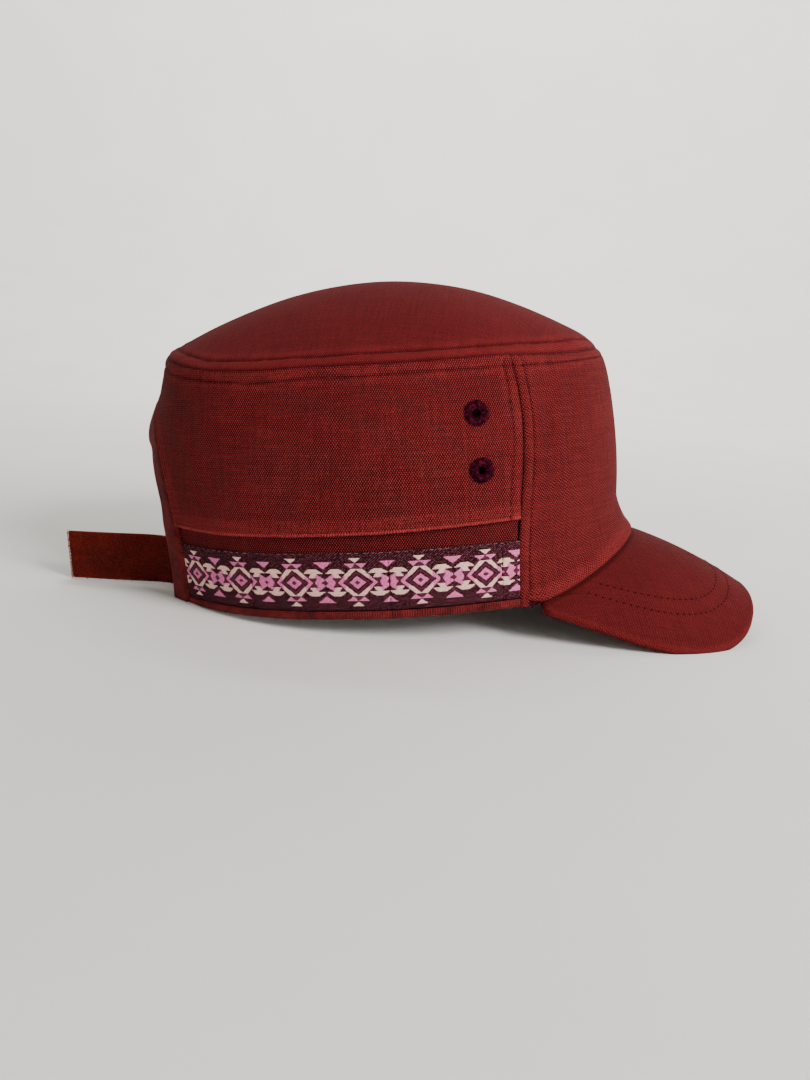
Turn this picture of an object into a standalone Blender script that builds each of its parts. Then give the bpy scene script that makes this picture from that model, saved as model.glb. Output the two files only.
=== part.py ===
# Cadet cap: a soft hollow crown on a stiff curved peak, with an arch and two strap ends at the back.
# Metres. +X points to the peak, +Y to the wearer's left, +Z up.
# The cap is drawn level, as it is worn, then tipped to rest on the sides of its peak and its rear rim.
import math

import bmesh
import bpy
from mathutils import Vector

# crown, outside of the cloth: reach to the front, to the back and to each side
RIM_FRONT = 0.1000
RIM_BACK = 0.1015
RIM_HALF_WIDTH = 0.0812
RIM_POWERS = (2.23, 1.95)
TOP_FRONT = 0.0961
TOP_BACK = 0.0876
TOP_HALF_WIDTH = 0.0779
TOP_POWERS = (2.06, 2.42)
SIDE_BULGE = 0.0055
DOME_RISE = 0.0316
DOME_POWER = 1.93
DOME_SHIFT = 0.0052
DOME_FOOT = 0.0963

# heights above the level rim plane at plan angles from the front, the same on both sides
SECTIONS = (
    # angle, rim, fold, seam
    (0, -0.0002, 0.0380, 0.0991),
    (30, 0.0008, 0.0372, 0.0976),
    (60, 0.0017, 0.0362, 0.0956),
    (90, 0.0002, 0.0333, 0.0938),
    (120, -0.0014, 0.0317, 0.0930),
    (150, -0.0010, 0.0332, 0.0974),
    (180, -0.0003, 0.0346, 0.1015),
)
SECTION_STEP = 30
COLUMN = {"rim": 1, "fold": 2, "seam": 3}

# cloth and trims
CLOTH = 0.0016
GAP = 0.0003
GAP_ANGLE = 0.1
FRONT_PROUD = 0.0005
BAND_SET_BACK = 0.0010
RIBBON_WIDTH = 0.0229
RIBBON_THICKNESS = 0.0007
HEM_HEIGHT = 0.0035
HEM_THICKNESS = 0.0028
HEM_PROUD = 0.0003
MITRE = 0.0008
HEM_PROFILE = (
    # share of the half thickness, share of the height
    (1.0, 0.25), (1.0, 0.75), (0.6, 1.0), (-0.6, 1.0), (-1.0, 0.75), (-1.0, 0.25), (-0.5, 0.0), (0.5, 0.0),
)

# rolled lip along the lower fold of the side panels, fading out before the arch
FOLD_LIP = 0.0010
LIP_ROWS = (
    # height above the fold, share of the lip
    (0.0, 0.7),
    (0.0012, 1.0),
    (0.0030, 0.8),
    (0.0065, 0.0),
)
LIP_FADE_COLUMNS = 2
UPPER_LEAD = 3.0

# seam between front and side panels: plan angle, with a slow sway over the height
FRONT_SEAM_ANGLE = 53.3
FRONT_SEAM_SWAY = 1.4
SWAY_CENTRE = 0.027
SWAY_LENGTH = 0.104

# back arch, measured to the panels' edge: half angle at the sides and height of its crown
ARCH_HALF_ANGLE = 46.5
ARCH_HEIGHT = 0.0810
ARCH_POWER = 2.5
ARCH_TUCK = 3.0
ARCH_TUCK_HEIGHT = 0.025
BINDING_WIDTH = 0.0102
BINDING_THICKNESS = 0.0028
BINDING_PROUD = 0.0007
BINDING_TURN = math.radians(20)
BINDING_TURN_FROM = 0.065
BINDING_TURN_TO = 0.082
BINDING_PROFILE = (
    # share across, share of the thickness from the inside out
    (0.04, 1.0), (0.30, 1.0), (0.70, 1.0), (0.95, 0.8), (1.0, 0.5), (0.95, 0.2), (0.60, 0.0), (0.04, 0.0),
)

# thread-worked eyelets
EYELET_ANGLE = 63.0
EYELET_HEIGHTS = {"upper": 0.0756, "lower": 0.0553}
EYELET_RADIUS = 0.0043
EYELET_BARREL = 0.0029
EYELET_HOLE = 0.0019
EYELET_PROUD = 0.0010
EYELET_ROUND = 0.0007
EYELET_EDGE = 0.0002
EYELET_DISH = 0.6
EYELET_CUT = 0.0033
CUT_BEHIND = 0.004
CUT_AHEAD = 0.003

# peak: outline, cross arch and slope
ROOT_FRONT = 0.1112
ROOT_HALF_WIDTH = 0.0868
ROOT_POWER = 1.925
ROOT_HALF_ANGLE = 48.5
ROOT_CLEAR_ANGLE = 49.6
CORNER_ANGLE = 51.4
ROOT_HEIGHT = 0.0184
ROOT_TUCK = 0.0025
FLARE_HEIGHT = 0.018
FLARE_POWER = 1.5
PEAK_TIP = 0.1610
PEAK_CENTRE = 0.0682
PEAK_HALF_WIDTH = 0.0666
PEAK_POWER = 2.77
PEAK_END_TURN = 89.3
PEAK_SLOPE = 0.330
PEAK_SLOPE_GROWTH = 3.8
PEAK_ARCH = 0.0080
PEAK_ARCH_GROWTH = 0.0603
PEAK_ARCH_REACH = 0.035
PEAK_ARCH_POWER = 2.27
PEAK_THICKNESS = 0.0026
PEAK_EDGE_ROWS = (
    # inset from the free edge, share of the thickness rounded off each face
    (0.0035, 0.0),
    (0.0010, 0.10),
    (0.0, 0.35),
)

# straps
STRAP_WIDTH = 0.0212
STRAP_THICKNESS = 0.0020
STRAP_LOW = 0.0027
STRAP_SEAT_ANGLE = 127.0
STRAP_LEAVE_ANGLE = 134.5
STRAP_FREE_LENGTH = 0.068
STRAP_RISE = 0.0015
STRAP_CLEAR = 0.0008
STRAP_TURN_START = 0.12
STRAP_TURN_SHARE = 0.45
STRAP_COURSE = math.radians(177)
STRAP_LEVELS = (0.0, 0.5, 1.0)
TAB_END_ANGLE = 164.0

# rest: the cap tips back until the peak's sides and the rear rim touch the surface
REST_TILT = math.radians(5.14)
REST_LIFT = 0.0072
REST_SHIFT = -0.01315

# how finely the solids are faceted
FRONT_COLUMNS = 24
FRONT_ROWS = 10
FRONT_ROW_POWER = 1.35
SIDE_COLUMNS = 14
ARCH_COLUMNS = 16
PANEL_ROWS = 7
BAND_COLUMNS = 20
BAND_ROWS = 3
DOME_SECTORS = 52
DOME_RINGS = 9
BINDING_STEPS = 22
EYELET_SIDES = 14
PEAK_COLUMNS = 32
PEAK_ROWS = 6
STRAP_STEPS = 12
SEAT_STEPS = 4
SHARP_ANGLE = math.radians(40)

# small steps for reading directions off the surfaces
PROBE_ANGLE = 0.5
PROBE_HEIGHT = 0.001
PROBE_REACH = 0.02

# colour, roughness
FINISHES = {
    "cloth": ((0.27, 0.020, 0.026), 0.85),
    "trim": ((0.31, 0.026, 0.030), 0.80),
    "ribbon": ((0.10, 0.012, 0.030), 0.60),
    "thread": ((0.07, 0.008, 0.022), 0.65),
    "pile": ((0.14, 0.010, 0.007), 0.95),
}


def clear_scene():
    """Remove every object that is already in the file."""
    for item in list(bpy.data.objects):
        bpy.data.objects.remove(item, do_unlink=True)


def finish(name):
    """The material of one finish."""
    material = bpy.data.materials.get(name)
    if material is None:
        colour, roughness = FINISHES[name]
        material = bpy.data.materials.new(name)
        material.use_nodes = True
        shader = material.node_tree.nodes["Principled BSDF"]
        shader.inputs["Base Color"].default_value = (*colour, 1.0)
        shader.inputs["Roughness"].default_value = roughness
        shader.inputs["Metallic"].default_value = 0.0
    return material


def signed_power(value, power):
    """A power that keeps the sign."""
    return math.copysign(abs(value) ** power, value)


def smooth_step(value):
    """Ease from 0 to 1."""
    value = min(max(value, 0.0), 1.0)
    return value * value * (3 - 2 * value)


def section(column, angle):
    """A height of the sections table at a plan angle in degrees, on a smooth curve through the rows."""
    last = len(SECTIONS) - 1
    place = abs(angle) / SECTION_STEP
    row = min(int(place), last - 1)
    t = place - row
    values = []
    for k in (row - 1, row, row + 1, row + 2):
        mirrored = last - abs(last - abs(k))
        values.append(SECTIONS[mirrored][COLUMN[column]])
    before, low, high, after = values
    start = (high - before) / 2
    end = (after - low) / 2
    rise = high - low
    return low + t * (start + t * (3 * rise - 2 * start - end + t * (start + end - 2 * rise)))


def oval(angle, front, back, half_width, powers):
    """Plan point of a squared oval at an angle in degrees from the front."""
    ahead = math.cos(math.radians(angle))
    aside = math.sin(math.radians(angle))
    power = powers[0] if ahead > 0 else powers[1]
    reach = front if ahead > 0 else back
    return Vector((reach * signed_power(ahead, 2 / power), half_width * signed_power(aside, 2 / power), 0))


def plain_wall(angle, height):
    """Outside of the crown's side at a plan angle and a height, before it flares on to the peak."""
    rim = section("rim", angle)
    rise = (height - rim) / (section("seam", angle) - rim)
    low = oval(angle, RIM_FRONT, RIM_BACK, RIM_HALF_WIDTH, RIM_POWERS)
    high = oval(angle, TOP_FRONT, TOP_BACK, TOP_HALF_WIDTH, TOP_POWERS)
    place = low.lerp(high, rise)
    place += low.normalized() * (4 * SIDE_BULGE * rise * (1 - rise))
    place.z = height
    return place


def peak_height(x, y):
    """Top of the peak at a place in plan."""
    ahead = x - ROOT_FRONT
    arch = (PEAK_ARCH + PEAK_ARCH_GROWTH * ahead) * abs(y / PEAK_ARCH_REACH) ** PEAK_ARCH_POWER
    return ROOT_HEIGHT - PEAK_SLOPE * ahead - PEAK_SLOPE_GROWTH * ahead ** 2 - arch


def peak_root(angle):
    """Line where the front panel meets the top of the peak."""
    place = oval(angle, ROOT_FRONT, ROOT_FRONT, ROOT_HALF_WIDTH, (ROOT_POWER, ROOT_POWER))
    place.z = peak_height(place.x, place.y)
    return place


def wall(angle, height):
    """Outside of the crown's side, with the flare of the front panel on to the peak."""
    place = plain_wall(angle, height)
    seam = FRONT_SEAM_ANGLE - FRONT_SEAM_SWAY
    if abs(angle) < seam:
        root = peak_root(math.copysign(min(abs(angle), ROOT_HALF_ANGLE), angle))
        flare = root - plain_wall(math.copysign(min(abs(angle), ROOT_HALF_ANGLE), angle), root.z)
        fade = min(1.0, (seam - abs(angle)) / (seam - ROOT_HALF_ANGLE))
        above = max(0.0, 1 - max(0.0, height - root.z) / FLARE_HEIGHT)
        place += flare * (fade * above ** FLARE_POWER)
    return place


def outward(angle, height):
    """Unit normal of the crown's side."""
    across = wall(angle + PROBE_ANGLE, height) - wall(angle - PROBE_ANGLE, height)
    upward = wall(angle, height + PROBE_HEIGHT) - wall(angle, height - PROBE_HEIGHT)
    return across.cross(upward).normalized()


def off_wall(angle, height, proud):
    """A point that stands proud of the crown's side."""
    return wall(angle, height) + outward(angle, height) * proud


def front_seam(height):
    """Plan angle of the seam between front and side panels."""
    return FRONT_SEAM_ANGLE + FRONT_SEAM_SWAY * math.cos(2 * math.pi * (height - SWAY_CENTRE) / SWAY_LENGTH)


def arch_point(turn):
    """Panels' edge at the arch: turn 0 at the rim, 90 at its crown. Gives a plan angle and a height."""
    aside = math.cos(math.radians(turn)) ** (2 / ARCH_POWER)
    rise = math.sin(math.radians(turn)) ** (2 / ARCH_POWER)
    low = section("rim", 180 - ARCH_HALF_ANGLE)
    height = low + (ARCH_HEIGHT - low) * rise
    tuck = ARCH_TUCK * max(0.0, 1 - height / ARCH_TUCK_HEIGHT) ** 2
    return 180 - ARCH_HALF_ANGLE * aside + tuck, height


def arch_turn(height):
    """The turn along the arch at a height."""
    low = section("rim", 180 - ARCH_HALF_ANGLE)
    rise = max(0.0, (height - low) / (ARCH_HEIGHT - low)) ** (ARCH_POWER / 2)
    return math.degrees(math.asin(min(1.0, rise)))


def rest(place):
    """Tip a point of the level cap to its place at rest, pressed flat where it meets the surface."""
    cosine = math.cos(REST_TILT)
    sine = math.sin(REST_TILT)
    x = place.x * cosine - place.z * sine + REST_SHIFT
    z = place.x * sine + place.z * cosine + REST_LIFT
    return Vector((x, place.y, max(z, 0.0)))


def surface_height(place):
    """Height in the level cap of the surface it will rest on, under a place."""
    return -(REST_LIFT + place.x * math.sin(REST_TILT)) / math.cos(REST_TILT)


def solid(name, points, faces, material):
    """Make one closed object from points of the level cap."""
    mesh = bpy.data.meshes.new(name)
    mesh.from_pydata([rest(p) for p in points], [], faces)
    work = bmesh.new()
    work.from_mesh(mesh)
    bmesh.ops.remove_doubles(work, verts=work.verts, dist=1e-6)
    bmesh.ops.recalc_face_normals(work, faces=work.faces)
    work.to_mesh(mesh)
    work.free()
    mesh.materials.append(finish(material))
    mesh.shade_smooth()
    mesh.set_sharp_from_angle(angle=SHARP_ANGLE)
    item = bpy.data.objects.new(name, mesh)
    bpy.context.scene.collection.objects.link(item)
    return item


def slab(name, outer, inner, material):
    """A closed sheet between an outer and an inner grid of points."""
    rows = len(outer)
    columns = len(outer[0])
    points = [p for row in outer for p in row] + [p for row in inner for p in row]
    back = rows * columns

    def at(row, column):
        return row * columns + column

    faces = []
    for i in range(rows - 1):
        for j in range(columns - 1):
            a, b, c, d = at(i, j), at(i, j + 1), at(i + 1, j + 1), at(i + 1, j)
            faces.append((a, b, c, d))
            faces.append((back + d, back + c, back + b, back + a))
    border = [at(0, j) for j in range(columns)]
    border += [at(i, columns - 1) for i in range(1, rows)]
    border += [at(rows - 1, j) for j in range(columns - 2, -1, -1)]
    border += [at(i, 0) for i in range(rows - 2, 0, -1)]
    for a, b in zip(border, border[1:] + border[:1]):
        faces.append((b, a, back + a, back + b))
    return solid(name, points, faces, material)


def tube(name, rings, material):
    """A closed bar through a row of rings with flat ends."""
    sides = len(rings[0])
    points = [p for ring in rings for p in ring]
    faces = []
    for i in range(len(rings) - 1):
        for j in range(sides):
            k = (j + 1) % sides
            faces.append((i * sides + j, i * sides + k, (i + 1) * sides + k, (i + 1) * sides + j))
    faces.append(tuple(range(sides)))
    faces.append(tuple((len(rings) - 1) * sides + j for j in range(sides)))
    return solid(name, points, faces, material)


def front_columns():
    """Plan angles of the front panel's columns: even along the peak, then one at each corner and seam."""
    angles = [ROOT_HALF_ANGLE * (2 * j / FRONT_COLUMNS - 1) for j in range(FRONT_COLUMNS + 1)]
    ends = [ROOT_CLEAR_ANGLE, CORNER_ANGLE, FRONT_SEAM_ANGLE]
    return [-angle for angle in reversed(ends)] + angles + ends


def make_front_panel():
    """The tall front panel, from seam to seam, standing on the peak."""
    outer, inner = [], []
    for i in range(FRONT_ROWS + 1):
        row_out, row_in = [], []
        for column in front_columns():
            on_peak = abs(column) <= ROOT_CLEAR_ANGLE
            foot = peak_root(column).z + GAP if on_peak else section("rim", column)
            top = section("seam", column) - GAP / 2
            # rows lie closer together in the flare
            height = foot + (top - foot) * (i / FRONT_ROWS) ** FRONT_ROW_POWER
            angle = column * (front_seam(height) - GAP_ANGLE) / FRONT_SEAM_ANGLE
            if on_peak and i == 0:
                angle = column
            drop = MITRE if i == FRONT_ROWS else 0.0
            row_out.append(off_wall(angle, height, FRONT_PROUD))
            row_in.append(off_wall(angle, height - drop, FRONT_PROUD - CLOTH))
            if on_peak and i == 0:
                for place in (row_out[-1], row_in[-1]):
                    place.z = peak_height(place.x, place.y) + GAP
        outer.append(row_out)
        inner.append(row_in)
    return slab("front_panel", outer, inner, "cloth")


def side_edges():
    """Lower and upper edge of a side panel as pairs of plan angle and height, front to centre back."""
    lower, upper = [], []
    fold_end = arch_turn(section("fold", 180 - ARCH_HALF_ANGLE))
    corner = arch_point(fold_end)[0]
    for j in range(SIDE_COLUMNS + 1):
        share = j / SIDE_COLUMNS
        low = front_seam(section("fold", FRONT_SEAM_ANGLE)) + GAP_ANGLE
        high = front_seam(section("seam", FRONT_SEAM_ANGLE)) + GAP_ANGLE
        angle = low + (corner - low) * share
        lower.append((angle, section("fold", angle)))
        angle = high + (corner - UPPER_LEAD - high) * share
        upper.append((angle, section("seam", angle) - GAP / 2))
    centre = 180 - GAP_ANGLE
    for j in range(1, ARCH_COLUMNS + 1):
        share = j / ARCH_COLUMNS
        angle, height = arch_point(fold_end + (90 - fold_end) * share)
        lower.append((min(angle, centre), height))
        angle = corner - UPPER_LEAD + (centre - corner + UPPER_LEAD) * share
        upper.append((angle, section("seam", angle) - GAP / 2))
    return lower, upper


def make_side_panel(name, side):
    """A side panel with its rolled lower fold and its share of the back arch. Side is -1 for the right."""
    lower, upper = side_edges()
    outer, inner = [], []
    for i in range(len(LIP_ROWS) + PANEL_ROWS):
        row_out, row_in = [], []
        for j, (low, high) in enumerate(zip(lower, upper)):
            length = high[1] - low[1]
            first = LIP_ROWS[-1][0] / length
            if i < len(LIP_ROWS):
                above, lip = LIP_ROWS[i]
                share = above / length
                proud = FOLD_LIP * lip * smooth_step((SIDE_COLUMNS + 1 - j) / LIP_FADE_COLUMNS)
            else:
                share = first + (1 - first) * (i - len(LIP_ROWS) + 1) / PANEL_ROWS
                proud = 0.0
            angle = low[0] + (high[0] - low[0]) * share
            height = low[1] + length * share
            if j == 0:
                angle = front_seam(height) + GAP_ANGLE
            drop = MITRE if i == len(LIP_ROWS) + PANEL_ROWS - 1 else 0.0
            row_out.append(off_wall(side * angle, height, proud))
            row_in.append(off_wall(side * angle, height - drop, -CLOTH))
        outer.append(row_out)
        inner.append(row_in)
    return slab(name, outer, inner, "cloth")


def band_angle(share, height):
    """Plan angle along the lower band: share 0 at the front seam, 1 at the arch."""
    start = front_seam(height) + GAP_ANGLE
    end = arch_point(arch_turn(height))[0]
    return start + (end - start) * share


def make_band_strip(name, side, to_fold, outside, inside, material):
    """A strip of the lower band from the hem up to the fold, or as high as the ribbon is wide."""
    outer, inner = [], []
    for i in range(BAND_ROWS + 1):
        row_out, row_in = [], []
        for j in range(BAND_COLUMNS + 1):
            share = j / BAND_COLUMNS
            middle = band_angle(share, RIBBON_WIDTH / 2)
            low = section("rim", middle) + HEM_HEIGHT + GAP
            high = section("fold", middle) - GAP if to_fold else low + RIBBON_WIDTH
            height = low + (high - low) * i / BAND_ROWS
            angle = side * band_angle(share, height)
            row_out.append(off_wall(angle, height, outside))
            row_in.append(off_wall(angle, height, inside))
        outer.append(row_out)
        inner.append(row_in)
    return slab(name, outer, inner, material)


def make_hem(name, side):
    """The rolled welt along the rim."""
    half = HEM_THICKNESS / 2
    rings = []
    for j in range(BAND_COLUMNS + 1):
        ring = []
        for across, up in HEM_PROFILE:
            middle = band_angle(j / BAND_COLUMNS, HEM_HEIGHT / 2)
            height = section("rim", middle) + HEM_HEIGHT * up
            angle = side * band_angle(j / BAND_COLUMNS, height)
            ring.append(off_wall(angle, height, HEM_PROUD - half + half * across))
        rings.append(ring)
    return tube(name, rings, "trim")


def dome_point(angle, reach):
    """Outside of the top panel: reach 0 at its centre, 1 at the seam."""
    edge = wall(angle, section("seam", angle))
    x = edge.x * reach + DOME_SHIFT * (1 - reach)
    foot = edge.z * reach ** 2 + DOME_FOOT * (1 - reach ** 2)
    return Vector((x, edge.y * reach, foot + DOME_RISE * (1 - reach ** DOME_POWER)))


def make_crown_top():
    """The domed top panel, its lower edge mitred to the side panels."""
    centre = Vector((DOME_SHIFT, 0, DOME_FOOT + DOME_RISE))
    outer, inner = [centre], [centre - Vector((0, 0, CLOTH))]
    for i in range(1, DOME_RINGS + 1):
        for j in range(DOME_SECTORS):
            angle = 360 * j / DOME_SECTORS - 180
            reach = i / DOME_RINGS
            edge = dome_point(angle, 1.0)
            if i == DOME_RINGS:
                reach -= GAP / edge.xy.length
            place = dome_point(angle, reach)
            along = dome_point(angle + PROBE_ANGLE, reach) - dome_point(angle - PROBE_ANGLE, reach)
            inwards = dome_point(angle, reach - PROBE_REACH) - place
            normal = along.cross(inwards).normalized()
            outer.append(place)
            if i < DOME_RINGS:
                inner.append(place - normal * CLOTH)
            else:
                level = Vector((edge.x, edge.y, 0)).normalized()
                inner.append(place - level * CLOTH - Vector((0, 0, MITRE)))
    points = outer + inner
    back = len(outer)
    faces = []
    for j in range(DOME_SECTORS):
        k = (j + 1) % DOME_SECTORS
        faces.append((0, 1 + j, 1 + k))
        faces.append((back, back + 1 + k, back + 1 + j))
        for i in range(DOME_RINGS - 1):
            a = 1 + i * DOME_SECTORS + j
            b = 1 + i * DOME_SECTORS + k
            c = b + DOME_SECTORS
            d = a + DOME_SECTORS
            faces.append((a, d, c, b))
            faces.append((back + b, back + c, back + d, back + a))
        a = 1 + (DOME_RINGS - 1) * DOME_SECTORS + j
        b = 1 + (DOME_RINGS - 1) * DOME_SECTORS + k
        faces.append((a, back + a, back + b, b))
    return solid("crown_top", points, faces, "cloth")


def binding_place(turn, side, across, proud):
    """A point of the binding: turn along the arch, across from the panels' edge, proud of the cloth."""
    def edge(value):
        angle, height = arch_point(value)
        return wall(side * angle, height)

    angle, height = arch_point(turn)
    before = max(0.0, turn - PROBE_ANGLE)
    after = min(90.0, turn + PROBE_ANGLE)
    along = edge(after) - edge(before)
    if turn >= 90.0:
        along = Vector((0, -side, 0))
    along.normalize()
    normal = outward(side * angle, height)
    inwards = normal.cross(along) * -side
    turned = smooth_step((height - BINDING_TURN_FROM) / (BINDING_TURN_TO - BINDING_TURN_FROM))
    lean = BINDING_TURN * turned * math.sqrt(abs(math.cos(math.radians(turn))))
    reach = inwards * math.cos(lean) + normal * math.sin(lean)
    lift = normal * math.cos(lean) - inwards * math.sin(lean)
    return edge(turn) + reach * across + lift * proud


def make_binding():
    """The folded tape round the back arch, from rim to rim, its two cut ends standing on the surface."""
    turns = [90 * k / BINDING_STEPS for k in range(BINDING_STEPS + 1)]
    stations = [(-1, turn) for turn in turns] + [(1, turn) for turn in reversed(turns[:-1])]
    rings = []
    for side, turn in stations:
        ring = []
        for across, up in BINDING_PROFILE:
            proud = BINDING_PROUD - BINDING_THICKNESS * (1 - up)
            place = binding_place(turn, side, BINDING_WIDTH * across, proud)
            if turn == 0.0:
                place.z = min(place.z, surface_height(place))
            ring.append(place)
        rings.append(ring)
    return tube("opening_binding", rings, "trim")


def eyelet_frame(side, height):
    """Centre of an eyelet on the cloth and its three directions."""
    angle = side * EYELET_ANGLE
    normal = outward(angle, height)
    across = Vector((0, 0, 1)).cross(normal).normalized()
    return wall(angle, height), across, normal.cross(across), normal


def make_eyelet(name, side, height):
    """A stitched ring with a barrel through the cloth and an open hole."""
    centre, across, up, normal = eyelet_frame(side, height)
    profile = (
        # radius, proud of the cloth
        (EYELET_HOLE, EYELET_PROUD * EYELET_DISH),
        (EYELET_HOLE + EYELET_ROUND, EYELET_PROUD),
        (EYELET_RADIUS - EYELET_ROUND, EYELET_PROUD),
        (EYELET_RADIUS, GAP + EYELET_EDGE),
        (EYELET_RADIUS, GAP),
        (EYELET_BARREL, GAP),
        (EYELET_BARREL, -CLOTH - GAP),
        (EYELET_HOLE, -CLOTH - GAP),
    )
    points, faces = [], []
    count = len(profile)
    for k in range(EYELET_SIDES):
        turn = 2 * math.pi * k / EYELET_SIDES
        spoke = across * math.cos(turn) + up * math.sin(turn)
        for radius, proud in profile:
            points.append(centre + spoke * radius + normal * proud)
        for i in range(count):
            a = k * count + i
            b = k * count + (i + 1) % count
            c = (k + 1) % EYELET_SIDES * count + (i + 1) % count
            d = (k + 1) % EYELET_SIDES * count + i
            faces.append((a, b, c, d))
    return solid(name, points, faces, "thread")


def cut_eyelet_hole(panel, name, side, height):
    """Cut the hole for one eyelet through a side panel."""
    centre, across, up, normal = eyelet_frame(side, height)
    rings = []
    for proud in (-CUT_BEHIND, CUT_AHEAD):
        ring = []
        for k in range(EYELET_SIDES):
            turn = 2 * math.pi * k / EYELET_SIDES
            spoke = across * math.cos(turn) + up * math.sin(turn)
            ring.append(centre + spoke * EYELET_CUT + normal * proud)
        rings.append(ring)
    cutter = tube(name, rings, "thread")
    cutter.hide_render = True
    cutter.display_type = "WIRE"
    cut = panel.modifiers.new(name, "BOOLEAN")
    cut.operation = "DIFFERENCE"
    cut.object = cutter


def peak_edge(share):
    """Plan point on the peak's free edge, share -1 at the right end, 1 at the left."""
    turn = math.radians(PEAK_END_TURN * share)
    x = PEAK_CENTRE + (PEAK_TIP - PEAK_CENTRE) * abs(math.cos(turn)) ** (2 / PEAK_POWER)
    y = PEAK_HALF_WIDTH * signed_power(math.sin(turn), 2 / PEAK_POWER)
    return Vector((x, y, 0))


def make_peak():
    """The stiff peak: a curved board with a rounded free edge, its root under the front panel."""
    top, bottom = [], []
    for i in range(PEAK_ROWS + len(PEAK_EDGE_ROWS)):
        inset, thinned = PEAK_EDGE_ROWS[max(0, i - PEAK_ROWS)]
        row_top, row_bottom = [], []
        for j in range(PEAK_COLUMNS + 1):
            share = 2 * j / PEAK_COLUMNS - 1
            root = peak_root(share * ROOT_HALF_ANGLE)
            root = root - root.normalized() * ROOT_TUCK
            free = peak_edge(share)
            length = (free - Vector((root.x, root.y, 0))).length
            reach = (1 - inset / length) * min(1.0, i / PEAK_ROWS)
            x = root.x + (free.x - root.x) * reach
            y = root.y + (free.y - root.y) * reach
            high = peak_height(x, y)
            row_top.append(Vector((x, y, high - PEAK_THICKNESS * thinned)))
            row_bottom.append(Vector((x, y, high - PEAK_THICKNESS * (1 - thinned))))
        top.append(row_top)
        bottom.append(row_bottom)
    return slab("peak", top, bottom, "cloth")


def seated_column(side, angle, deeper):
    """Low, middle and high point of a strap seated inside the band, each with its outward normal."""
    seat = -(CLOTH + BAND_SET_BACK + GAP + STRAP_THICKNESS / 2 + deeper)
    column = []
    for up in STRAP_LEVELS:
        height = STRAP_LOW + STRAP_WIDTH * up
        column.append((off_wall(side * angle, height, seat), outward(side * angle, height)))
    return column


def strap_slab(name, columns, material):
    """A strap on edge through a row of seated or free columns."""
    outer, inner = [], []
    for level in range(len(STRAP_LEVELS)):
        outer.append([column[level][0] + column[level][1] * STRAP_THICKNESS / 2 for column in columns])
        inner.append([column[level][0] - column[level][1] * STRAP_THICKNESS / 2 for column in columns])
    return slab(name, outer, inner, material)


def make_right_strap():
    """The free strap end: sewn inside the arch's right edge, along the binding, then straight back.

    It rises a little along its course, so that its end lies just clear of the surface the cap rests on.
    """
    columns = []
    for k in range(SEAT_STEPS + 1):
        share = k / SEAT_STEPS
        angle = STRAP_SEAT_ANGLE + (STRAP_LEAVE_ANGLE - STRAP_SEAT_ANGLE) * share
        columns.append(seated_column(-1, angle, STRAP_CLEAR * share))
    last = columns[-1]
    start = last[1][0]
    leans = [place - start for place, normal in last]
    heading = math.atan2(-last[1][1].x, last[1][1].y)
    for k in range(1, STRAP_STEPS + 1):
        share = k / STRAP_STEPS
        turn = smooth_step((share - STRAP_TURN_START) / STRAP_TURN_SHARE)
        course = heading + (STRAP_COURSE - heading) * turn
        ahead = Vector((math.cos(course), math.sin(course), 0))
        start = start + ahead * (STRAP_FREE_LENGTH / STRAP_STEPS)
        normal = Vector((ahead.y, -ahead.x, 0))
        risen = start + Vector((0, 0, STRAP_RISE * share ** 2))
        column = []
        for lean in leans:
            upright = Vector((0, 0, lean.z))
            column.append((risen + lean.lerp(upright, turn), normal))
        columns.append(column)
    return strap_slab("strap_right", columns, "pile")


def make_left_tab():
    """The plain hook tab: sewn inside the arch's left edge and following the curve of the rim."""
    columns = []
    for k in range(STRAP_STEPS + 1):
        angle = STRAP_SEAT_ANGLE + (TAB_END_ANGLE - STRAP_SEAT_ANGLE) * k / STRAP_STEPS
        columns.append(seated_column(1, angle, STRAP_CLEAR * min(1.0, k / SEAT_STEPS)))
    return strap_slab("strap_left", columns, "pile")


def build_cap():
    """Make every piece of the cap."""
    clear_scene()
    make_crown_top()
    make_front_panel()
    make_peak()
    make_binding()
    ribbon_out = -BAND_SET_BACK + GAP + RIBBON_THICKNESS
    for label, side in (("right", -1), ("left", 1)):
        panel = make_side_panel("side_panel_" + label, side)
        make_band_strip("band_" + label, side, True, -BAND_SET_BACK, -BAND_SET_BACK - CLOTH, "cloth")
        make_band_strip("ribbon_" + label, side, False, ribbon_out, -BAND_SET_BACK + GAP, "ribbon")
        make_hem("hem_" + label, side)
        for level, height in EYELET_HEIGHTS.items():
            make_eyelet("eyelet_" + label + "_" + level, side, height)
            cut_eyelet_hole(panel, "cutter_" + label + "_" + level, side, height)
    make_right_strap()
    make_left_tab()


build_cap()
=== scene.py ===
# Cadet cap: woven cloth, folded tapes, patterned ribbon, worked eyelets, pile straps and stitching.
# Metres. +X points to the peak, +Y to the wearer's left, +Z up.
# Shapes are drawn on the level cap, as it is worn, then tipped to rest like the solids they cover.
import math
from contextlib import contextmanager

import bmesh
import bpy
from mathutils import Matrix, Vector, kdtree, noise


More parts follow.
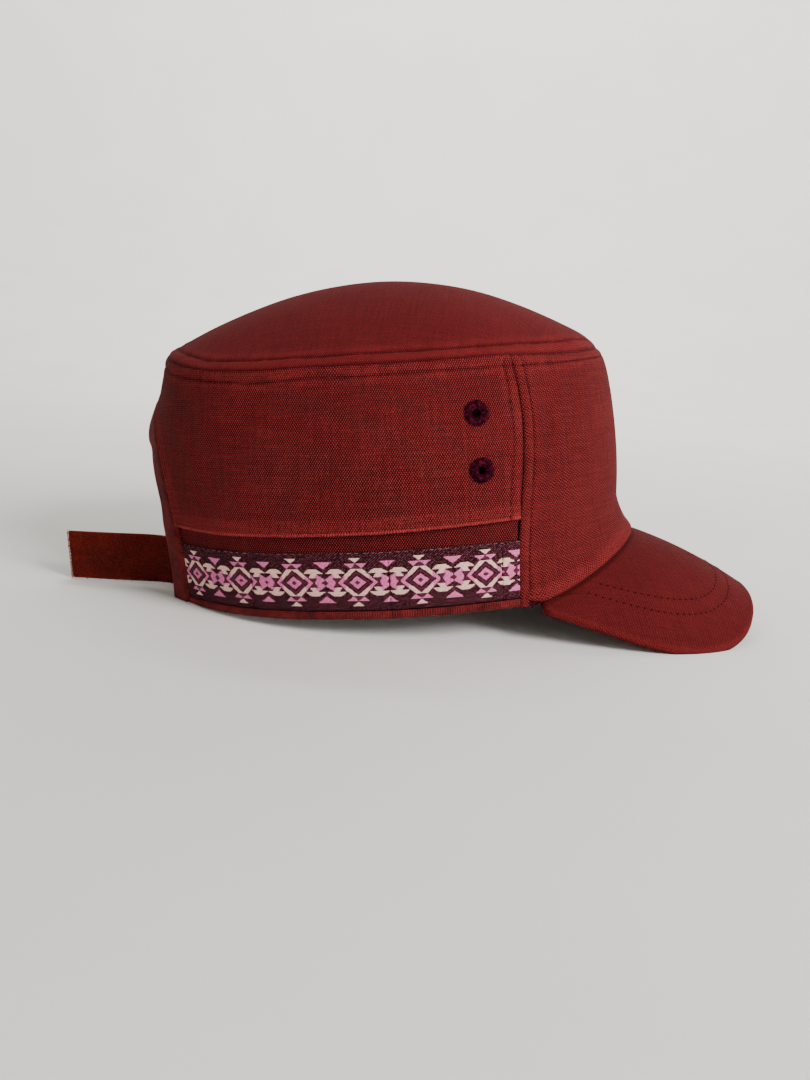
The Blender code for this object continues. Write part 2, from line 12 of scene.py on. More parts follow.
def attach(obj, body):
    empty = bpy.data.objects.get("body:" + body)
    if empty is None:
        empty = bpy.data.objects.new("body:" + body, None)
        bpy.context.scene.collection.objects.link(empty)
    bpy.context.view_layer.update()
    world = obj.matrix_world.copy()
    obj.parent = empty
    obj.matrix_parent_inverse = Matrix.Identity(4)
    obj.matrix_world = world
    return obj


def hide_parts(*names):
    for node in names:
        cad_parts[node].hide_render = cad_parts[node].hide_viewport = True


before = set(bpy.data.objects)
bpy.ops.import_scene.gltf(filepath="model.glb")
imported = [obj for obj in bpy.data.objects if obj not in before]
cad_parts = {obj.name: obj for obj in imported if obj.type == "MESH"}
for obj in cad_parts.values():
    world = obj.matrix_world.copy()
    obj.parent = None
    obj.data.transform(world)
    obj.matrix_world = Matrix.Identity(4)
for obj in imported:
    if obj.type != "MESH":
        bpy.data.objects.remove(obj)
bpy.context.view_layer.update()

# crown, outside of the cloth
RIM_FRONT = 0.1000
RIM_BACK = 0.1015
RIM_HALF_WIDTH = 0.0812
RIM_POWERS = (2.23, 1.95)
TOP_FRONT = 0.0961
TOP_BACK = 0.0876
TOP_HALF_WIDTH = 0.0779
TOP_POWERS = (2.06, 2.42)
SIDE_BULGE = 0.0055
DOME_RISE = 0.0316
DOME_POWER = 1.93
DOME_SHIFT = 0.0052
DOME_FOOT = 0.0963

# heights above the level rim plane at plan angles from the front
SECTIONS = (
    # angle, rim, fold, seam
    (0, -0.0002, 0.0380, 0.0991),
    (30, 0.0008, 0.0372, 0.0976),
    (60, 0.0017, 0.0362, 0.0956),
    (90, 0.0002, 0.0333, 0.0938),
    (120, -0.0014, 0.0317, 0.0930),
    (150, -0.0010, 0.0332, 0.0974),
    (180, -0.0003, 0.0346, 0.1015),
)
SECTION_STEP = 30
COLUMN = {"rim": 1, "fold": 2, "seam": 3}

# cloth and trims
CLOTH = 0.0016
GAP = 0.0003
FRONT_PROUD = 0.0005
PROUD_OVER = 0.003
BAND_SET_BACK = 0.0010
RIBBON_WIDTH = 0.0229
RIBBON_THICKNESS = 0.0007
HEM_HEIGHT = 0.0035
HEM_THICKNESS = 0.0028
HEM_PROUD = 0.0003
TAPE = 0.0007
STRAP_TAPE = 0.0012
BAND_TUCK = (0.004, 0.022)
# painted shade: the band's cloth carries a low relief, so that it shows darker under the fold
BAND_PAINTED_SHADE = -0.0002
BAND_LEVEL = 0.015
BAND_START = 0.6
BAND_PAST_FOLD = 0.0012
RIBBON_TUCK = (0.001, 0.012)
RIBBON_FACE = RIBBON_THICKNESS + GAP - BAND_SET_BACK
RIBBON_EDGE = 0.0006
RIBBON_EDGE_DROP = 0.0003
RIBBON_WAVE = 0.00012
RIBBON_WAVE_LENGTH = 0.006
RIBBON_LEVELS = 4
HEM_COLUMNS = 150
HEM_SWELL = 0.00010
HEM_SWELL_LENGTH = 0.004
HEM_PROFILE = (
    # share across, share up, from the inside round the bottom to the outside
    (-0.98, 1.0), (-1.0, 0.75), (-1.0, 0.45), (-0.85, 0.18), (-0.5, 0.03), (0.0, 0.0),
    (0.5, 0.03), (0.85, 0.18), (1.0, 0.45), (1.0, 0.75), (0.92, 1.0),
)

# seam between front and side panels
FRONT_SEAM_ANGLE = 53.3
FRONT_SEAM_SWAY = 1.4
SWAY_CENTRE = 0.027
SWAY_LENGTH = 0.104
SWAY_SHARE = 0.35
SEAM_FOLLOW_FROM = 25
SEAM_FOLLOW_OVER = 20

# back arch and its binding
ARCH_HALF_ANGLE = 46.5
ARCH_HEIGHT = 0.0810
ARCH_POWER = 2.5
ARCH_TUCK = 3.0
ARCH_TUCK_HEIGHT = 0.025
UPPER_LEAD = 3.0
CENTRE_SEAM_FROM = 150
BINDING_WIDTH = 0.0102
BINDING_THICKNESS = 0.0028
BINDING_PROUD = 0.0007
BINDING_TURN = math.radians(20)
BINDING_TURN_FROM = 0.065
BINDING_TURN_TO = 0.082
BINDING_STEPS = 90
BINDING_CROWDING = 1.15
BINDING_WEAVE = (0.010, 0.003)
BINDING_SWELL = 0.00012
BINDING_SWELL_LENGTH = 0.005
BINDING_PROFILE = (
    # share across, share of the thickness from the inside out
    (-0.06, 0.22), (-0.06, 0.80), (-0.02, 1.0), (0.25, 1.0), (0.5, 1.02), (0.75, 1.0), (0.9, 0.92),
    (0.98, 0.72), (1.0, 0.5), (0.98, 0.28), (0.9, 0.1), (0.7, 0.03), (0.4, 0.0), (-0.06, 0.0),
)

# thread-worked eyelets
EYELET_ANGLE = 63.0
EYELET_HEIGHTS = {"upper": 0.0756, "lower": 0.0553}
EYELET_RADIUS = 0.0043
EYELET_HOLE = 0.0019
EYELET_CLEARED = 0.0030
EYELET_SIDES = 40
EYELET_WEAVE = 0.003
EYELET_WRAPS = 36
EYELET_RING = (EYELET_HOLE + EYELET_RADIUS) / 2 + 0.0001
EYELET_RING_PROUD = 0.0003
EYELET_RING_STEPS = 72
EYELET_CORE = (
    # radius, proud of the cloth
    (EYELET_HOLE + 0.0002, -CLOTH - 0.0004), (EYELET_HOLE + 0.0001, 0.0), (EYELET_HOLE + 0.0003, 0.0006),
    (EYELET_HOLE + 0.0009, 0.00085), (EYELET_RADIUS - 0.0008, 0.0006), (EYELET_RADIUS - 0.0001, 0.0),
    (EYELET_RADIUS - 0.0003, -0.0003), (EYELET_HOLE + 0.0012, -CLOTH - 0.0002),
    (EYELET_HOLE + 0.0005, -CLOTH - 0.0005),
)

# peak
ROOT_FRONT = 0.1112
ROOT_HALF_WIDTH = 0.0868
ROOT_POWER = 1.925
ROOT_HALF_ANGLE = 48.5
ROOT_CLEAR_ANGLE = 49.6
CORNER_ANGLE = 51.4
ROOT_HEIGHT = 0.0184
ROOT_TUCK = 0.0025
ROOT_SHADE = 0.0007
ROOT_SHADE_FROM = 0.0003
ROOT_SHADE_OVER = 0.0008
FOOT_EASE = 2.9
FOOT_SINK = 0.0002
FLARE_HEIGHT = 0.018
FLARE_POWER = 1.5
PEAK_TIP = 0.1610
PEAK_CENTRE = 0.0682
PEAK_HALF_WIDTH = 0.0666
PEAK_POWER = 2.77
PEAK_END_TURN = 89.3
PEAK_SLOPE = 0.330
PEAK_SLOPE_GROWTH = 3.8
PEAK_ARCH = 0.0080
PEAK_ARCH_GROWTH = 0.0603
PEAK_ARCH_REACH = 0.035
PEAK_ARCH_POWER = 2.27
PEAK_THICKNESS = 0.0026
PEAK_SOFTNESS = 0.4
PEAK_RIM_RISE = 0.00015
PEAK_LEAST = 0.024
PEAK_UNDER_RELIEF = 0.6
PEAK_EDGE_POINTS = 600
PEAK_WEAVE = ((1.3, 0.5), (-0.5, 1.7))

# straps
STRAP_WIDTH = 0.0212
STRAP_THICKNESS = 0.0020
STRAP_LOW = 0.0027
STRAP_SEAT_ANGLE = 127.0
STRAP_LEAVE_ANGLE = 134.5
STRAP_FREE_LENGTH = 0.068
STRAP_RISE = 0.0015
STRAP_CLEAR = 0.0008
STRAP_TURN_START = 0.12
STRAP_TURN_SHARE = 0.45
STRAP_COURSE = math.radians(177)
TAB_END_ANGLE = 164.0
TAB_STEPS = 48
TAB_CLEAR_STEPS = 16
SEAT_STEPS = 12
STRAP_STEPS = 60
STRAP_LEVELS = 14
STRAP_BACK_PROUD = 0.0003
PILE_PROUD = 0.00034
PILE_INSET = 0.05
FRAY_STEPS = 12

# rest
REST_TILT = math.radians(5.14)
REST_LIFT = 0.0072
REST_SHIFT = -0.01315

# small steps for reading directions off the surfaces
PROBE_ANGLE = 0.5
PROBE_LENGTH = 0.001
PROBE_REACH = 0.02
PROBE_SHARE = 0.002
PROBE_TICK = 0.01
CROWN_NEAR = 0.6
HALVINGS = 14

# heights at which lengths round the side and the direction of its top are read
SIDE_LEVEL = 0.060
CORNER_LEVEL = 0.08

# height of the cloth near a sewn edge: groove, padded welt, stitch valley
ROW_DISTANCE = 0.0043
CROWN_ROW_DISTANCE = 0.0056
SEAM_RELIEF = (
    # distance from the seam, height
    (0.0, -0.00060),
    (0.0005, -0.00010),
    (0.0013, 0.00026),
    (0.0032, 0.00022),
    (0.0038, -0.00002),
    (0.0043, -0.00040),
    (0.0048, -0.00002),
    (0.0056, 0.00018),
    (0.0085, 0.0),
)
FRONT_SEAM_SHARE = 0.65
PUCKER = 0.00024
PUCKER_LENGTH = 0.0040
PUCKER_START = 0.001
PUCKER_FADE = 0.004
ROW_DRIFT = 0.0006
DRIFT_LENGTH = 0.016

# foot of the front panel, turned under where it meets the peak
FOOT_RELIEF = (
    # height above the peak, height off the cloth
    (0.0, -0.00090),
    (0.0005, -0.00035),
    (0.0010, 0.00040),
    (0.0017, 0.00068),
    (0.0026, 0.00058),
    (0.0045, 0.00015),
    (0.0075, 0.0),
)

# rounding of the top edge at the front
CORNER_ROUND = 0.0021
CORNER_REACH = 0.012
CORNER_FADE = 62.0
CORNER_EASE = 35
FRONT_SOFTENED = 0.6

# rolled lip along a folded edge of the side panels
LIP_RELIEF = (
    # distance from the fold, height
    (0.0, 0.00070),
    (0.0005, 0.00100),
    (0.0011, 0.00095),
    (0.0016, 0.00058),
    (0.0023, 0.00066),
    (0.0036, 0.00045),
    (0.0065, 0.0),
)
LIP_FADE = 3.0
FOLD_TUCK = 0.0006
FOLD_LAST_ANGLE = 133
TICK_DISTANCE = 0.0006

# stitched rows: where they start and end, and how many steps they take
ROUND_STEPS = 720
CROWN_ROW_REACH = 0.93
FRONT_ROW_LOW = 0.0015
FRONT_ROW_ABOVE_FOLD = 0.001
FRONT_ROW_STEPS = 80
TICK_STEPS = 120
TICK_ARCH_SHARE = 0.97
TICK_SEAM_CLEAR = 0.4
RIBBON_ROW_SHARES = (0.004, 0.996)
RIBBON_ROW_STEPS = 120
PEAK_ROW_SHARE = 0.97
PEAK_ROW_STEPS = 240
PEAK_ROW_CLEAR = 0.001
TACK_STEPS = 20
TACK_FOOT = 0.0006
TACK_SINK = 0.00020
TACK_ANGLES = [tenth / 10 for tenth in range(500, 1340)]

# edge of the peak: a worn rim, then two stitched rows
PEAK_ROUND = 0.0008
PEAK_ROWS = (0.0103, 0.0153)
ROOT_STEPS = (0.0, 0.0019, 0.0023, 0.0027, 0.0032, 0.0040, 0.0055)
PEAK_RELIEF = (
    # distance from the free edge, height
    (0.0, 0.00030),
    (0.0007, 0.00012),
    (0.0014, 0.0),
    (0.0097, 0.00003),
    (0.0103, -0.00004),
    (0.0109, 0.00003),
    (0.0128, 0.00005),
    (0.0147, 0.00003),
    (0.0153, -0.00004),
    (0.0159, 0.00003),
    (0.0190, 0.0),
)
PEAK_INSETS = (
    # distances from the free edge at which the peak has a row of points
    0.0, 0.0002, 0.0005, 0.0009, 0.0013, 0.0017, 0.0023, 0.0032, 0.0045, 0.0062, 0.0080,
    0.0090, 0.0097, 0.0103, 0.0109, 0.0118, 0.0132, 0.0147, 0.0153, 0.0159, 0.0173, 0.0190,
)

# distances from a sewn edge at which the cloth has a row of points
NEAR_SEAM = (0.0, 0.0004, 0.0009, 0.0015, 0.0023, 0.0032, 0.0038, 0.0043, 0.0048, 0.0055, 0.0065, 0.0080)
CENTRE_STEPS = (0.042, 0.030, 0.022, 0.016, 0.011, 0.0075, 0.0050, 0.0030, 0.0015, 0.0006, 0.0)
NEAR_FOLD = (0.0, 0.0004, 0.0009, 0.0014, 0.0018, 0.0023, 0.0030, 0.0040, 0.0052, 0.0065)

# rows and columns of points in the plain cloth between them
CROWN_SECTORS = 330
CROWN_RINGS = 40
FRONT_COLUMNS = 96
FRONT_ROWS = 54
FRONT_ROW_GROWTH = 1.5
FOLD_COLUMNS = 76
ARCH_COLUMNS = 61
ARCH_COLUMNS_TO = 1.95
SIDE_ROWS = 34
BAND_COLUMNS = 90
BAND_ROWS = 12
PEAK_COLUMNS = 150
PEAK_PLAIN_ROWS = 22

# soft dents in the side panels
DENTS = (
    # plan angle, height, slope in degrees, half length, half width, depth
    (84.0, 0.060, 52.0, 0.018, 0.0048, 0.0008),
    (93.0, 0.056, 50.0, 0.020, 0.0050, 0.0010),
    (101.0, 0.050, 58.0, 0.016, 0.0045, 0.0010),
    (112.0, 0.071, 64.0, 0.020, 0.0060, 0.0009),
    (121.0, 0.056, 76.0, 0.020, 0.0055, 0.0009),
    (72.0, 0.046, 38.0, 0.014, 0.0045, 0.0005),
)
DENT_REACH = 0.04
SOFTNESS = 0.00030
SOFT_LENGTH = 0.030
CROWN_SOFT_FROM = 0.02

# waves of the binding's outer edge: height, half length, reach added
BINDING_WAVES = (
    (0.0735, 0.004, 0.0006),
    (0.0665, 0.003, -0.0014),
    (0.0430, 0.010, -0.0020),
    (0.0350, 0.003, 0.0005),
)
LEFT_WAVE_SHARE = 0.6

# woven ribbon: one quarter of the repeat, folded over both ways
REPEAT = 24.4
LOZENGES = (
    # places along the ribbon from the cap's side towards the front, millimetres
    -68.1, -43.7, -20.3, 4.1, 27.3, 51.7,
)
MOTIF = (
    # colour, corners in millimetres: along from the lozenge's centre, up from the ribbon's middle
    ("cream", ((0, 5.4), (2.1, 5.4), (4.4, 3.08), (4.4, 1.25), (0, 5.10))),
    ("pink", ((4.4, 3.08), (7.45, 0), (5.80, 0), (4.4, 1.25))),
    ("pink", ((0, 2.5), (3.1, 0), (1.1, 0), (0, 0.9))),
    ("plum", ((0, 0.9), (1.1, 0), (0, 0))),
    ("plum", ((0, 4.3), (4.8, 0), (3.9, 0), (0, 3.5))),
    ("pink", ((0, 7.25), (4.4, 7.5), (2.15, 5.55))),
    ("plum", ((0, 7.0), (1.9, 5.6), (0, 5.6))),
    ("cream", ((0, 7.6), (2.35, 9.5), (0, 9.5))),
    ("pink", ((12.2, 5.3), (8.9, 7.9), (12.2, 7.9))),
    ("plum", ((12.2, 4.1), (10.7, 5.9), (12.2, 5.0))),
    ("cream", ((4.3, 3.6), (5.9, 5.1), (9.2, 5.35), (11.6, 3.75),
               (9.3, 3.65), (9.3, 3.4), (7.0, 3.4), (6.9, 3.6))),
    ("cream", ((7.0, 3.4), (9.0, 3.4), (8.6, 2.3), (7.9, 1.8), (5.9, 1.8))),
    ("pink", ((9.0, 3.4), (9.7, 2.95), (12.2, 1.3), (10.85, 0),
              (8.2, 0), (9.3, 1.8), (7.9, 1.8), (8.6, 2.3))),
    ("plum", ((6.3, 1.65), (9.15, 1.65), (7.8, 0.1))),
    ("plum", ((12.2, 1.3), (10.85, 0), (12.2, 0))),
)
YARNS = ("ground", "cream", "pink", "plum")
RIBBON_CELL = 0.00034
RIBBON_RAISE = 0.00014
TACKS = (-38.8, 15.9, 58.3)
TACK_HALF_WIDTH = 0.0007
TACK_DEPTH = 0.0004

# half the repeat of the cloth's yarns, across and up
YARN_ACROSS = 0.00046
YARN_UP = 0.00073

# repeats of the lines and ribs in the weaves, and the cloth's middle tone
TWILL_LINE = 0.00085
RIBBON_TWILL = 0.00082
SATIN_YARN = 0.00055
TAPE_RIB = 0.00095
TAPE_WEFT = 0.0007
MIDDLE_TONE = 0.42

# camera, as it stands to the level cap
CAMERA_PLACE = Vector((0.06465, -0.38603, 0.09639))
CAMERA_YAW = 0.14
CAMERA_PITCH = 0.20945
CAMERA_ROLL = -0.028957
CAMERA_LENS = 866.92 / 1080 * 36


def signed_power(value, power):
    """A power that keeps the sign."""
    return math.copysign(abs(value) ** power, value)


def smooth_step(value):
    """Ease from 0 to 1."""
    value = min(max(value, 0.0), 1.0)
    return value * value * (3 - 2 * value)


def even_steps(start, end, count):
    """Numbers from start to end in even steps."""
    return [start + (end - start) * k / count for k in range(count + 1)]


def follow(table, place):
    """Height of a relief table at a distance, eased between its rows."""
    if place <= table[0][0]:
        return table[0][1]
    for (near, low), (far, high) in zip(table, table[1:]):
        if place < far:
            return low + (high - low) * smooth_step((place - near) / (far - near))
    return table[-1][1]


def section(column, angle):
    """A height of the sections table at a plan angle in degrees, on a smooth curve through the rows."""
    last = len(SECTIONS) - 1
    place = abs(angle) / SECTION_STEP
    row = min(int(place), last - 1)
    t = place - row
    near = [SECTIONS[last - abs(last - abs(k))] for k in range(row - 1, row + 3)]
    before, low, high, after = (heights[COLUMN[column]] for heights in near)
    start = (high - before) / 2
    end = (after - low) / 2
    rise = high - low
    return low + t * (start + t * (3 * rise - 2 * start - end + t * (start + end - 2 * rise)))


def oval(angle, front, back, half_width, powers):
    """Plan point of a squared oval at an angle in degrees from the front."""
    ahead = math.cos(math.radians(angle))
    aside = math.sin(math.radians(angle))
    power = powers[0] if ahead > 0 else powers[1]
    reach = front if ahead > 0 else back
    return Vector((reach * signed_power(ahead, 2 / power), half_width * signed_power(aside, 2 / power), 0))


def plain_wall(angle, height):
    """Outside of the crown's side at a plan angle and a height, before it flares on to the peak."""
    rim = section("rim", angle)
    rise = (height - rim) / (section("seam", angle) - rim)
    low = oval(angle, RIM_FRONT, RIM_BACK, RIM_HALF_WIDTH, RIM_POWERS)
    high = oval(angle, TOP_FRONT, TOP_BACK, TOP_HALF_WIDTH, TOP_POWERS)
    place = low.lerp(high, rise)
    place += low.normalized() * (4 * SIDE_BULGE * rise * (1 - rise))
    place.z = height
    return place


def peak_height(x, y):
    """Top of the peak at a place in plan."""
    ahead = x - ROOT_FRONT
    arch = (PEAK_ARCH + PEAK_ARCH_GROWTH * ahead) * abs(y / PEAK_ARCH_REACH) ** PEAK_ARCH_POWER
    return ROOT_HEIGHT - PEAK_SLOPE * ahead - PEAK_SLOPE_GROWTH * ahead ** 2 - arch


def peak_root(angle):
    """Line where the front panel meets the top of the peak."""
    place = oval(angle, ROOT_FRONT, ROOT_FRONT, ROOT_HALF_WIDTH, (ROOT_POWER, ROOT_POWER))
    place.z = peak_height(place.x, place.y)
    return place


def wall(angle, height):
    """Outside of the crown's side, with the flare of the front panel on to the peak."""
    place = plain_wall(angle, height)
    seam = FRONT_SEAM_ANGLE - FRONT_SEAM_SWAY
    if abs(angle) < seam:
        at_root = math.copysign(min(abs(angle), ROOT_HALF_ANGLE), angle)
        root = peak_root(at_root)
        flare = root - plain_wall(at_root, root.z)
        fade = min(1.0, (seam - abs(angle)) / (seam - ROOT_HALF_ANGLE))
        above = max(0.0, 1 - max(0.0, height - root.z) / FLARE_HEIGHT)
        place += flare * (fade * above ** FLARE_POWER)
    return place


def outward(angle, height):
    """Unit normal of the crown's side."""
    across = wall(angle + PROBE_ANGLE, height) - wall(angle - PROBE_ANGLE, height)
    upward = wall(angle, height + PROBE_LENGTH) - wall(angle, height - PROBE_LENGTH)
    return across.cross(upward).normalized()


def off_wall(angle, height, proud):
    """A point that stands proud of the crown's side."""
    return wall(angle, height) + outward(angle, height) * proud


def front_seam(height):
    """Plan angle of the seam between front and side panels."""
    return FRONT_SEAM_ANGLE + FRONT_SEAM_SWAY * math.cos(2 * math.pi * (height - SWAY_CENTRE) / SWAY_LENGTH)


def arch_point(turn):
    """Panels' edge at the arch: turn 0 at the rim, 90 at its crown. Gives a plan angle and a height."""
    aside = math.cos(math.radians(turn)) ** (2 / ARCH_POWER)
    rise = math.sin(math.radians(turn)) ** (2 / ARCH_POWER)
    low = section("rim", 180 - ARCH_HALF_ANGLE)
    height = low + (ARCH_HEIGHT - low) * rise
    tuck = ARCH_TUCK * max(0.0, 1 - height / ARCH_TUCK_HEIGHT) ** 2
    return 180 - ARCH_HALF_ANGLE * aside + tuck, height


def arch_turn(height):
    """The turn along the arch at a height."""
    low = section("rim", 180 - ARCH_HALF_ANGLE)
    rise = max(0.0, (height - low) / (ARCH_HEIGHT - low)) ** (ARCH_POWER / 2)
    return math.degrees(math.asin(min(1.0, rise)))


def band_angle(share, height):
    """Plan angle along the lower band: share 0 at the front seam, 1 at the arch."""
    start = front_seam(height)
    end = arch_point(arch_turn(height))[0]
    return start + (end - start) * share


def rest(place):
    """Tip a point of the level cap to its place at rest, pressed flat where it meets the surface."""
    cosine = math.cos(REST_TILT)
    sine = math.sin(REST_TILT)
    x = place.x * cosine - place.z * sine + REST_SHIFT
    z = place.x * sine + place.z * cosine + REST_LIFT
    return Vector((x, place.y, max(z, 0.0)))


def surface_height(place):
    """Height in the level cap of the surface it will rest on, under a place."""
    return -(REST_LIFT + place.x * math.sin(REST_TILT)) / math.cos(REST_TILT)


def turned(direction):
    """Tip a direction of the level cap as it rests."""
    cosine = math.cos(REST_TILT)
    sine = math.sin(REST_TILT)
    x = direction.x * cosine - direction.z * sine
    return Vector((x, direction.y, direction.x * sine + direction.z * cosine))


def arc_table(height):
    """Lengths round the crown's side at one height, from the front, one for each degree."""
    lengths = [0.0]
    for angle in range(1, 181):
        lengths.append(lengths[-1] + (plain_wall(angle, height) - plain_wall(angle - 1, height)).length)
    return lengths


SIDE_ARC = arc_table(SIDE_LEVEL)
BAND_ARC = arc_table(BAND_LEVEL)


def arc(table, angle):
    """Length round the side from the front to a plan angle, with the angle's sign."""
    size = min(abs(angle), 179.999)
    low = int(size)
    return math.copysign(table[low] + (table[low + 1] - table[low]) * (size - low), angle)


def tree_of(points):
    """A line of points as a tree, for distances."""
    tree = kdtree.KDTree(len(points))
    for k, point in enumerate(points):
        tree.insert(point, k)
    tree.balance()
    return tree


ARCH_EDGE = tree_of([wall(*arch_point(turn)) for turn in even_steps(0.0, 90.0, 360)])
FOLD_TURN = arch_turn(section("fold", 180 - ARCH_HALF_ANGLE))
FOLD_END = arch_point(FOLD_TURN)[0]
# length of cloth for one degree at the front seam
SEAM_METRES = (wall(54.5, SIDE_LEVEL) - wall(53.5, SIDE_LEVEL)).length


def drift(place):
    """How far a sewn row wanders from its even distance."""
    return ROW_DRIFT * noise.noise(place / DRIFT_LENGTH)


def sewn(distance, place):
    """Height of the cloth at a distance from a seam, with its wandering row and small gathers."""
    shifted = distance - drift(place) * smooth_step(distance / ROW_DISTANCE)
    window = smooth_step(distance / PUCKER_START) * (1 - smooth_step((distance - ROW_DISTANCE) / PUCKER_FADE))
    return follow(SEAM_RELIEF, shifted) + PUCKER * window * noise.noise(place / PUCKER_LENGTH)


def softness(place):
    """Slow unevenness of soft cloth."""
    return SOFTNESS * noise.noise(place / SOFT_LENGTH)


def side_relief(angle, height, place):
    """How far a side panel's cloth stands off its smooth surface, in all and by its seams alone."""
    size = abs(angle)
    to_top = section("seam", angle) - height
    to_front = (size - front_seam(height)) * SEAM_METRES
    to_fold = height - section("fold", angle)
    to_arch = ARCH_EDGE.find(Vector((place.x, abs(place.y), place.z)))[2]
    soft = softness(place)
    seams = FRONT_SEAM_SHARE * sewn(to_front, place) + sewn(to_top, place)
    if size > CENTRE_SEAM_FROM:
        seams += sewn(abs(place.y), place)
    fold = follow(LIP_RELIEF, to_fold) * smooth_step((FOLD_END - size) / LIP_FADE)
    seams += max(fold, follow(LIP_RELIEF, to_arch))
    across = arc(SIDE_ARC, size)
    for dent_angle, dent_height, slope, half_length, half_width, depth in DENTS:
        along = across - arc(SIDE_ARC, dent_angle)
        rise = height - dent_height
        if abs(along) < DENT_REACH:
            turn = math.radians(slope)
            ahead = (along * -math.cos(turn) + rise * math.sin(turn)) / half_length
            aside = (along * math.sin(turn) + rise * math.cos(turn)) / half_width
            soft -= depth * math.exp(-ahead ** 2 - aside ** 2)
    return seams + soft, seams


def side_place(angle, height):
    """A point of a side panel's cloth and its relief."""
    place = wall(angle, height)
    relief, seams = side_relief(angle, height, place)
    return place + outward(angle, height) * relief, seams


def front_relief(angle, height, place):
    """How far the front panel's cloth stands off its smooth surface, in all and by its seams alone."""
    to_top = section("seam", angle) - height
    to_seam = (front_seam(height) - abs(angle)) * SEAM_METRES
    proud = FRONT_PROUD * smooth_step(to_seam / PROUD_OVER) * smooth_step(to_top / PROUD_OVER)
    soft = proud + softness(place)
    top = sewn(to_top, place)
    soft -= FRONT_SOFTENED * at_front(angle) * top
    seams = top + FRONT_SEAM_SHARE * sewn(to_seam, place)
    if abs(angle) < CORNER_ANGLE:
        seams += follow(FOOT_RELIEF, height - peak_height(place.x, place.y))
    return seams + soft, seams


def at_front(angle):
    """1 round the front of the crown, eased to 0 past the front seams."""
    return smooth_step((CORNER_FADE - abs(angle)) / CORNER_EASE)


def front_corner(angle, distance):
    """How far the cloth near the top seam draws in and down at the front, where its corner is rounder."""
    drawn = CORNER_ROUND * at_front(angle) * max(0.0, 1 - distance / CORNER_REACH) ** 2
    return (Vector((0, 0, 1)) + outward(angle, CORNER_LEVEL)).normalized() * -drawn


def front_place(angle, height):
    """A point of the front panel's cloth and its relief."""
    place = wall(angle, height)
    relief, seams = front_relief(angle, height, place)
    corner = front_corner(angle, section("seam", angle) - height)
    return place + corner + outward(angle, height) * relief, seams


def dome_point(angle, reach):
    """Outside of the top panel: reach 0 at its centre, 1 at the seam."""
    edge = wall(angle, section("seam", angle))
    x = edge.x * reach + DOME_SHIFT * (1 - reach)
    foot = edge.z * reach ** 2 + DOME_FOOT * (1 - reach ** 2)
    return Vector((x, edge.y * reach, foot + DOME_RISE * (1 - reach ** DOME_POWER)))


def crown_place(angle, reach, proud=0.0):
    """A point of the top panel's cloth and its relief."""
    place = dome_point(angle, reach)
    edge = dome_point(angle, 1.0)
    distance = (edge - place).length
    along = dome_point(angle + PROBE_ANGLE, reach) - dome_point(angle - PROBE_ANGLE, reach)
    normal = along.cross(dome_point(angle, reach - PROBE_REACH) - place).normalized()
    soft = softness(place) * min(1.0, distance / CROWN_SOFT_FROM)
    seams = sewn(distance * ROW_DISTANCE / CROWN_ROW_DISTANCE, place)
    soft -= FRONT_SOFTENED * at_front(angle) * seams
    return place + front_corner(angle, distance) + normal * (seams + soft + proud), seams


def reach_at(angle, distance):
    """How far out the top panel is at a distance inside its seam."""
    edge = dome_point(angle, 1.0)
    near, far = CROWN_NEAR, 1.0
    for step in range(HALVINGS):
        middle = (near + far) / 2
        if (edge - dome_point(angle, middle)).length > distance:
            near = middle
        else:
            far = middle
    return far


def new_piece(name, mesh, finish):
    """A shown object for a mesh."""
    mesh.materials.append(finish)
    mesh.shade_smooth()
    piece = bpy.data.objects.new(name, mesh)
    bpy.context.scene.collection.objects.link(piece)
    return piece


def settle(piece):
    """Turn a piece's modifiers into its mesh."""
    graph = bpy.context.evaluated_depsgraph_get()
    shown = piece.evaluated_get(graph)
    mesh = bpy.data.meshes.new_from_object(shown, preserve_all_data_layers=True, depsgraph=graph)
    old = piece.data
    piece.modifiers.clear()
    piece.data = mesh
    bpy.data.meshes.remove(old)
    return piece


def grid_mesh(name, rows, flip=False, closed=False, keep=None):
    """A smooth surface through rows of points, each a place in the level cap, a weave place and a relief."""
    columns = len(rows[0])
    spots = [spot for row in rows for spot in row]
    mesh = bpy.data.meshes.new(name)
    faces = []
    for i in range(len(rows) - 1):
        for j in range(columns if closed else columns - 1):
            k = (j + 1) % columns
            corners = (i * columns + j, i * columns + k, (i + 1) * columns + k, (i + 1) * columns + j)
            if keep is None or keep(sum((spots[c][0] for c in corners), Vector()) / 4):
                faces.append(corners[::-1] if flip else corners)
    mesh.from_pydata([rest(spot[0]) for spot in spots], [], faces)
    weave = mesh.uv_layers.new(name="weave")
    for loop in mesh.loops:
        weave.uv[loop.index].vector = spots[loop.vertex_index][1]
    relief = mesh.attributes.new("relief", "FLOAT", "POINT")
    relief.data.foreach_set("value", [spot[2] * 1000 for spot in spots])
    return mesh


def thicken(piece, thickness):
    """Give a surface its cloth thickness, inwards."""
    solidify = piece.modifiers.new("cloth", "SOLIDIFY")
    solidify.thickness = thickness
    solidify.offset = -1
    solidify.use_even_offset = False
    solidify.use_rim = True
    return settle(piece)


def place_piece(piece, slot, *nodes):
    """Press a piece flat where it rests, hang it on the root body and hide the CAD nodes it stands for; slot
    is not used.
    """
    for vertex in piece.data.vertices:
        vertex.co.z = max(vertex.co.z, 0.0)
    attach(piece, "root")
    if nodes:
        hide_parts(*nodes)
    return piece


class Value:
    """A number in a node tree, to use in plain sums."""

    def __init__(self, graph, socket):
        self.graph = graph
        self.socket = socket

    def __add__(self, other):
        return self.graph.math("ADD", self, other)

    def __sub__(self, other):
        return self.graph.math("SUBTRACT", self, other)

    def __mul__(self, other):
        return self.graph.math("MULTIPLY", self, other)

    def __neg__(self):
        return self * -1.0


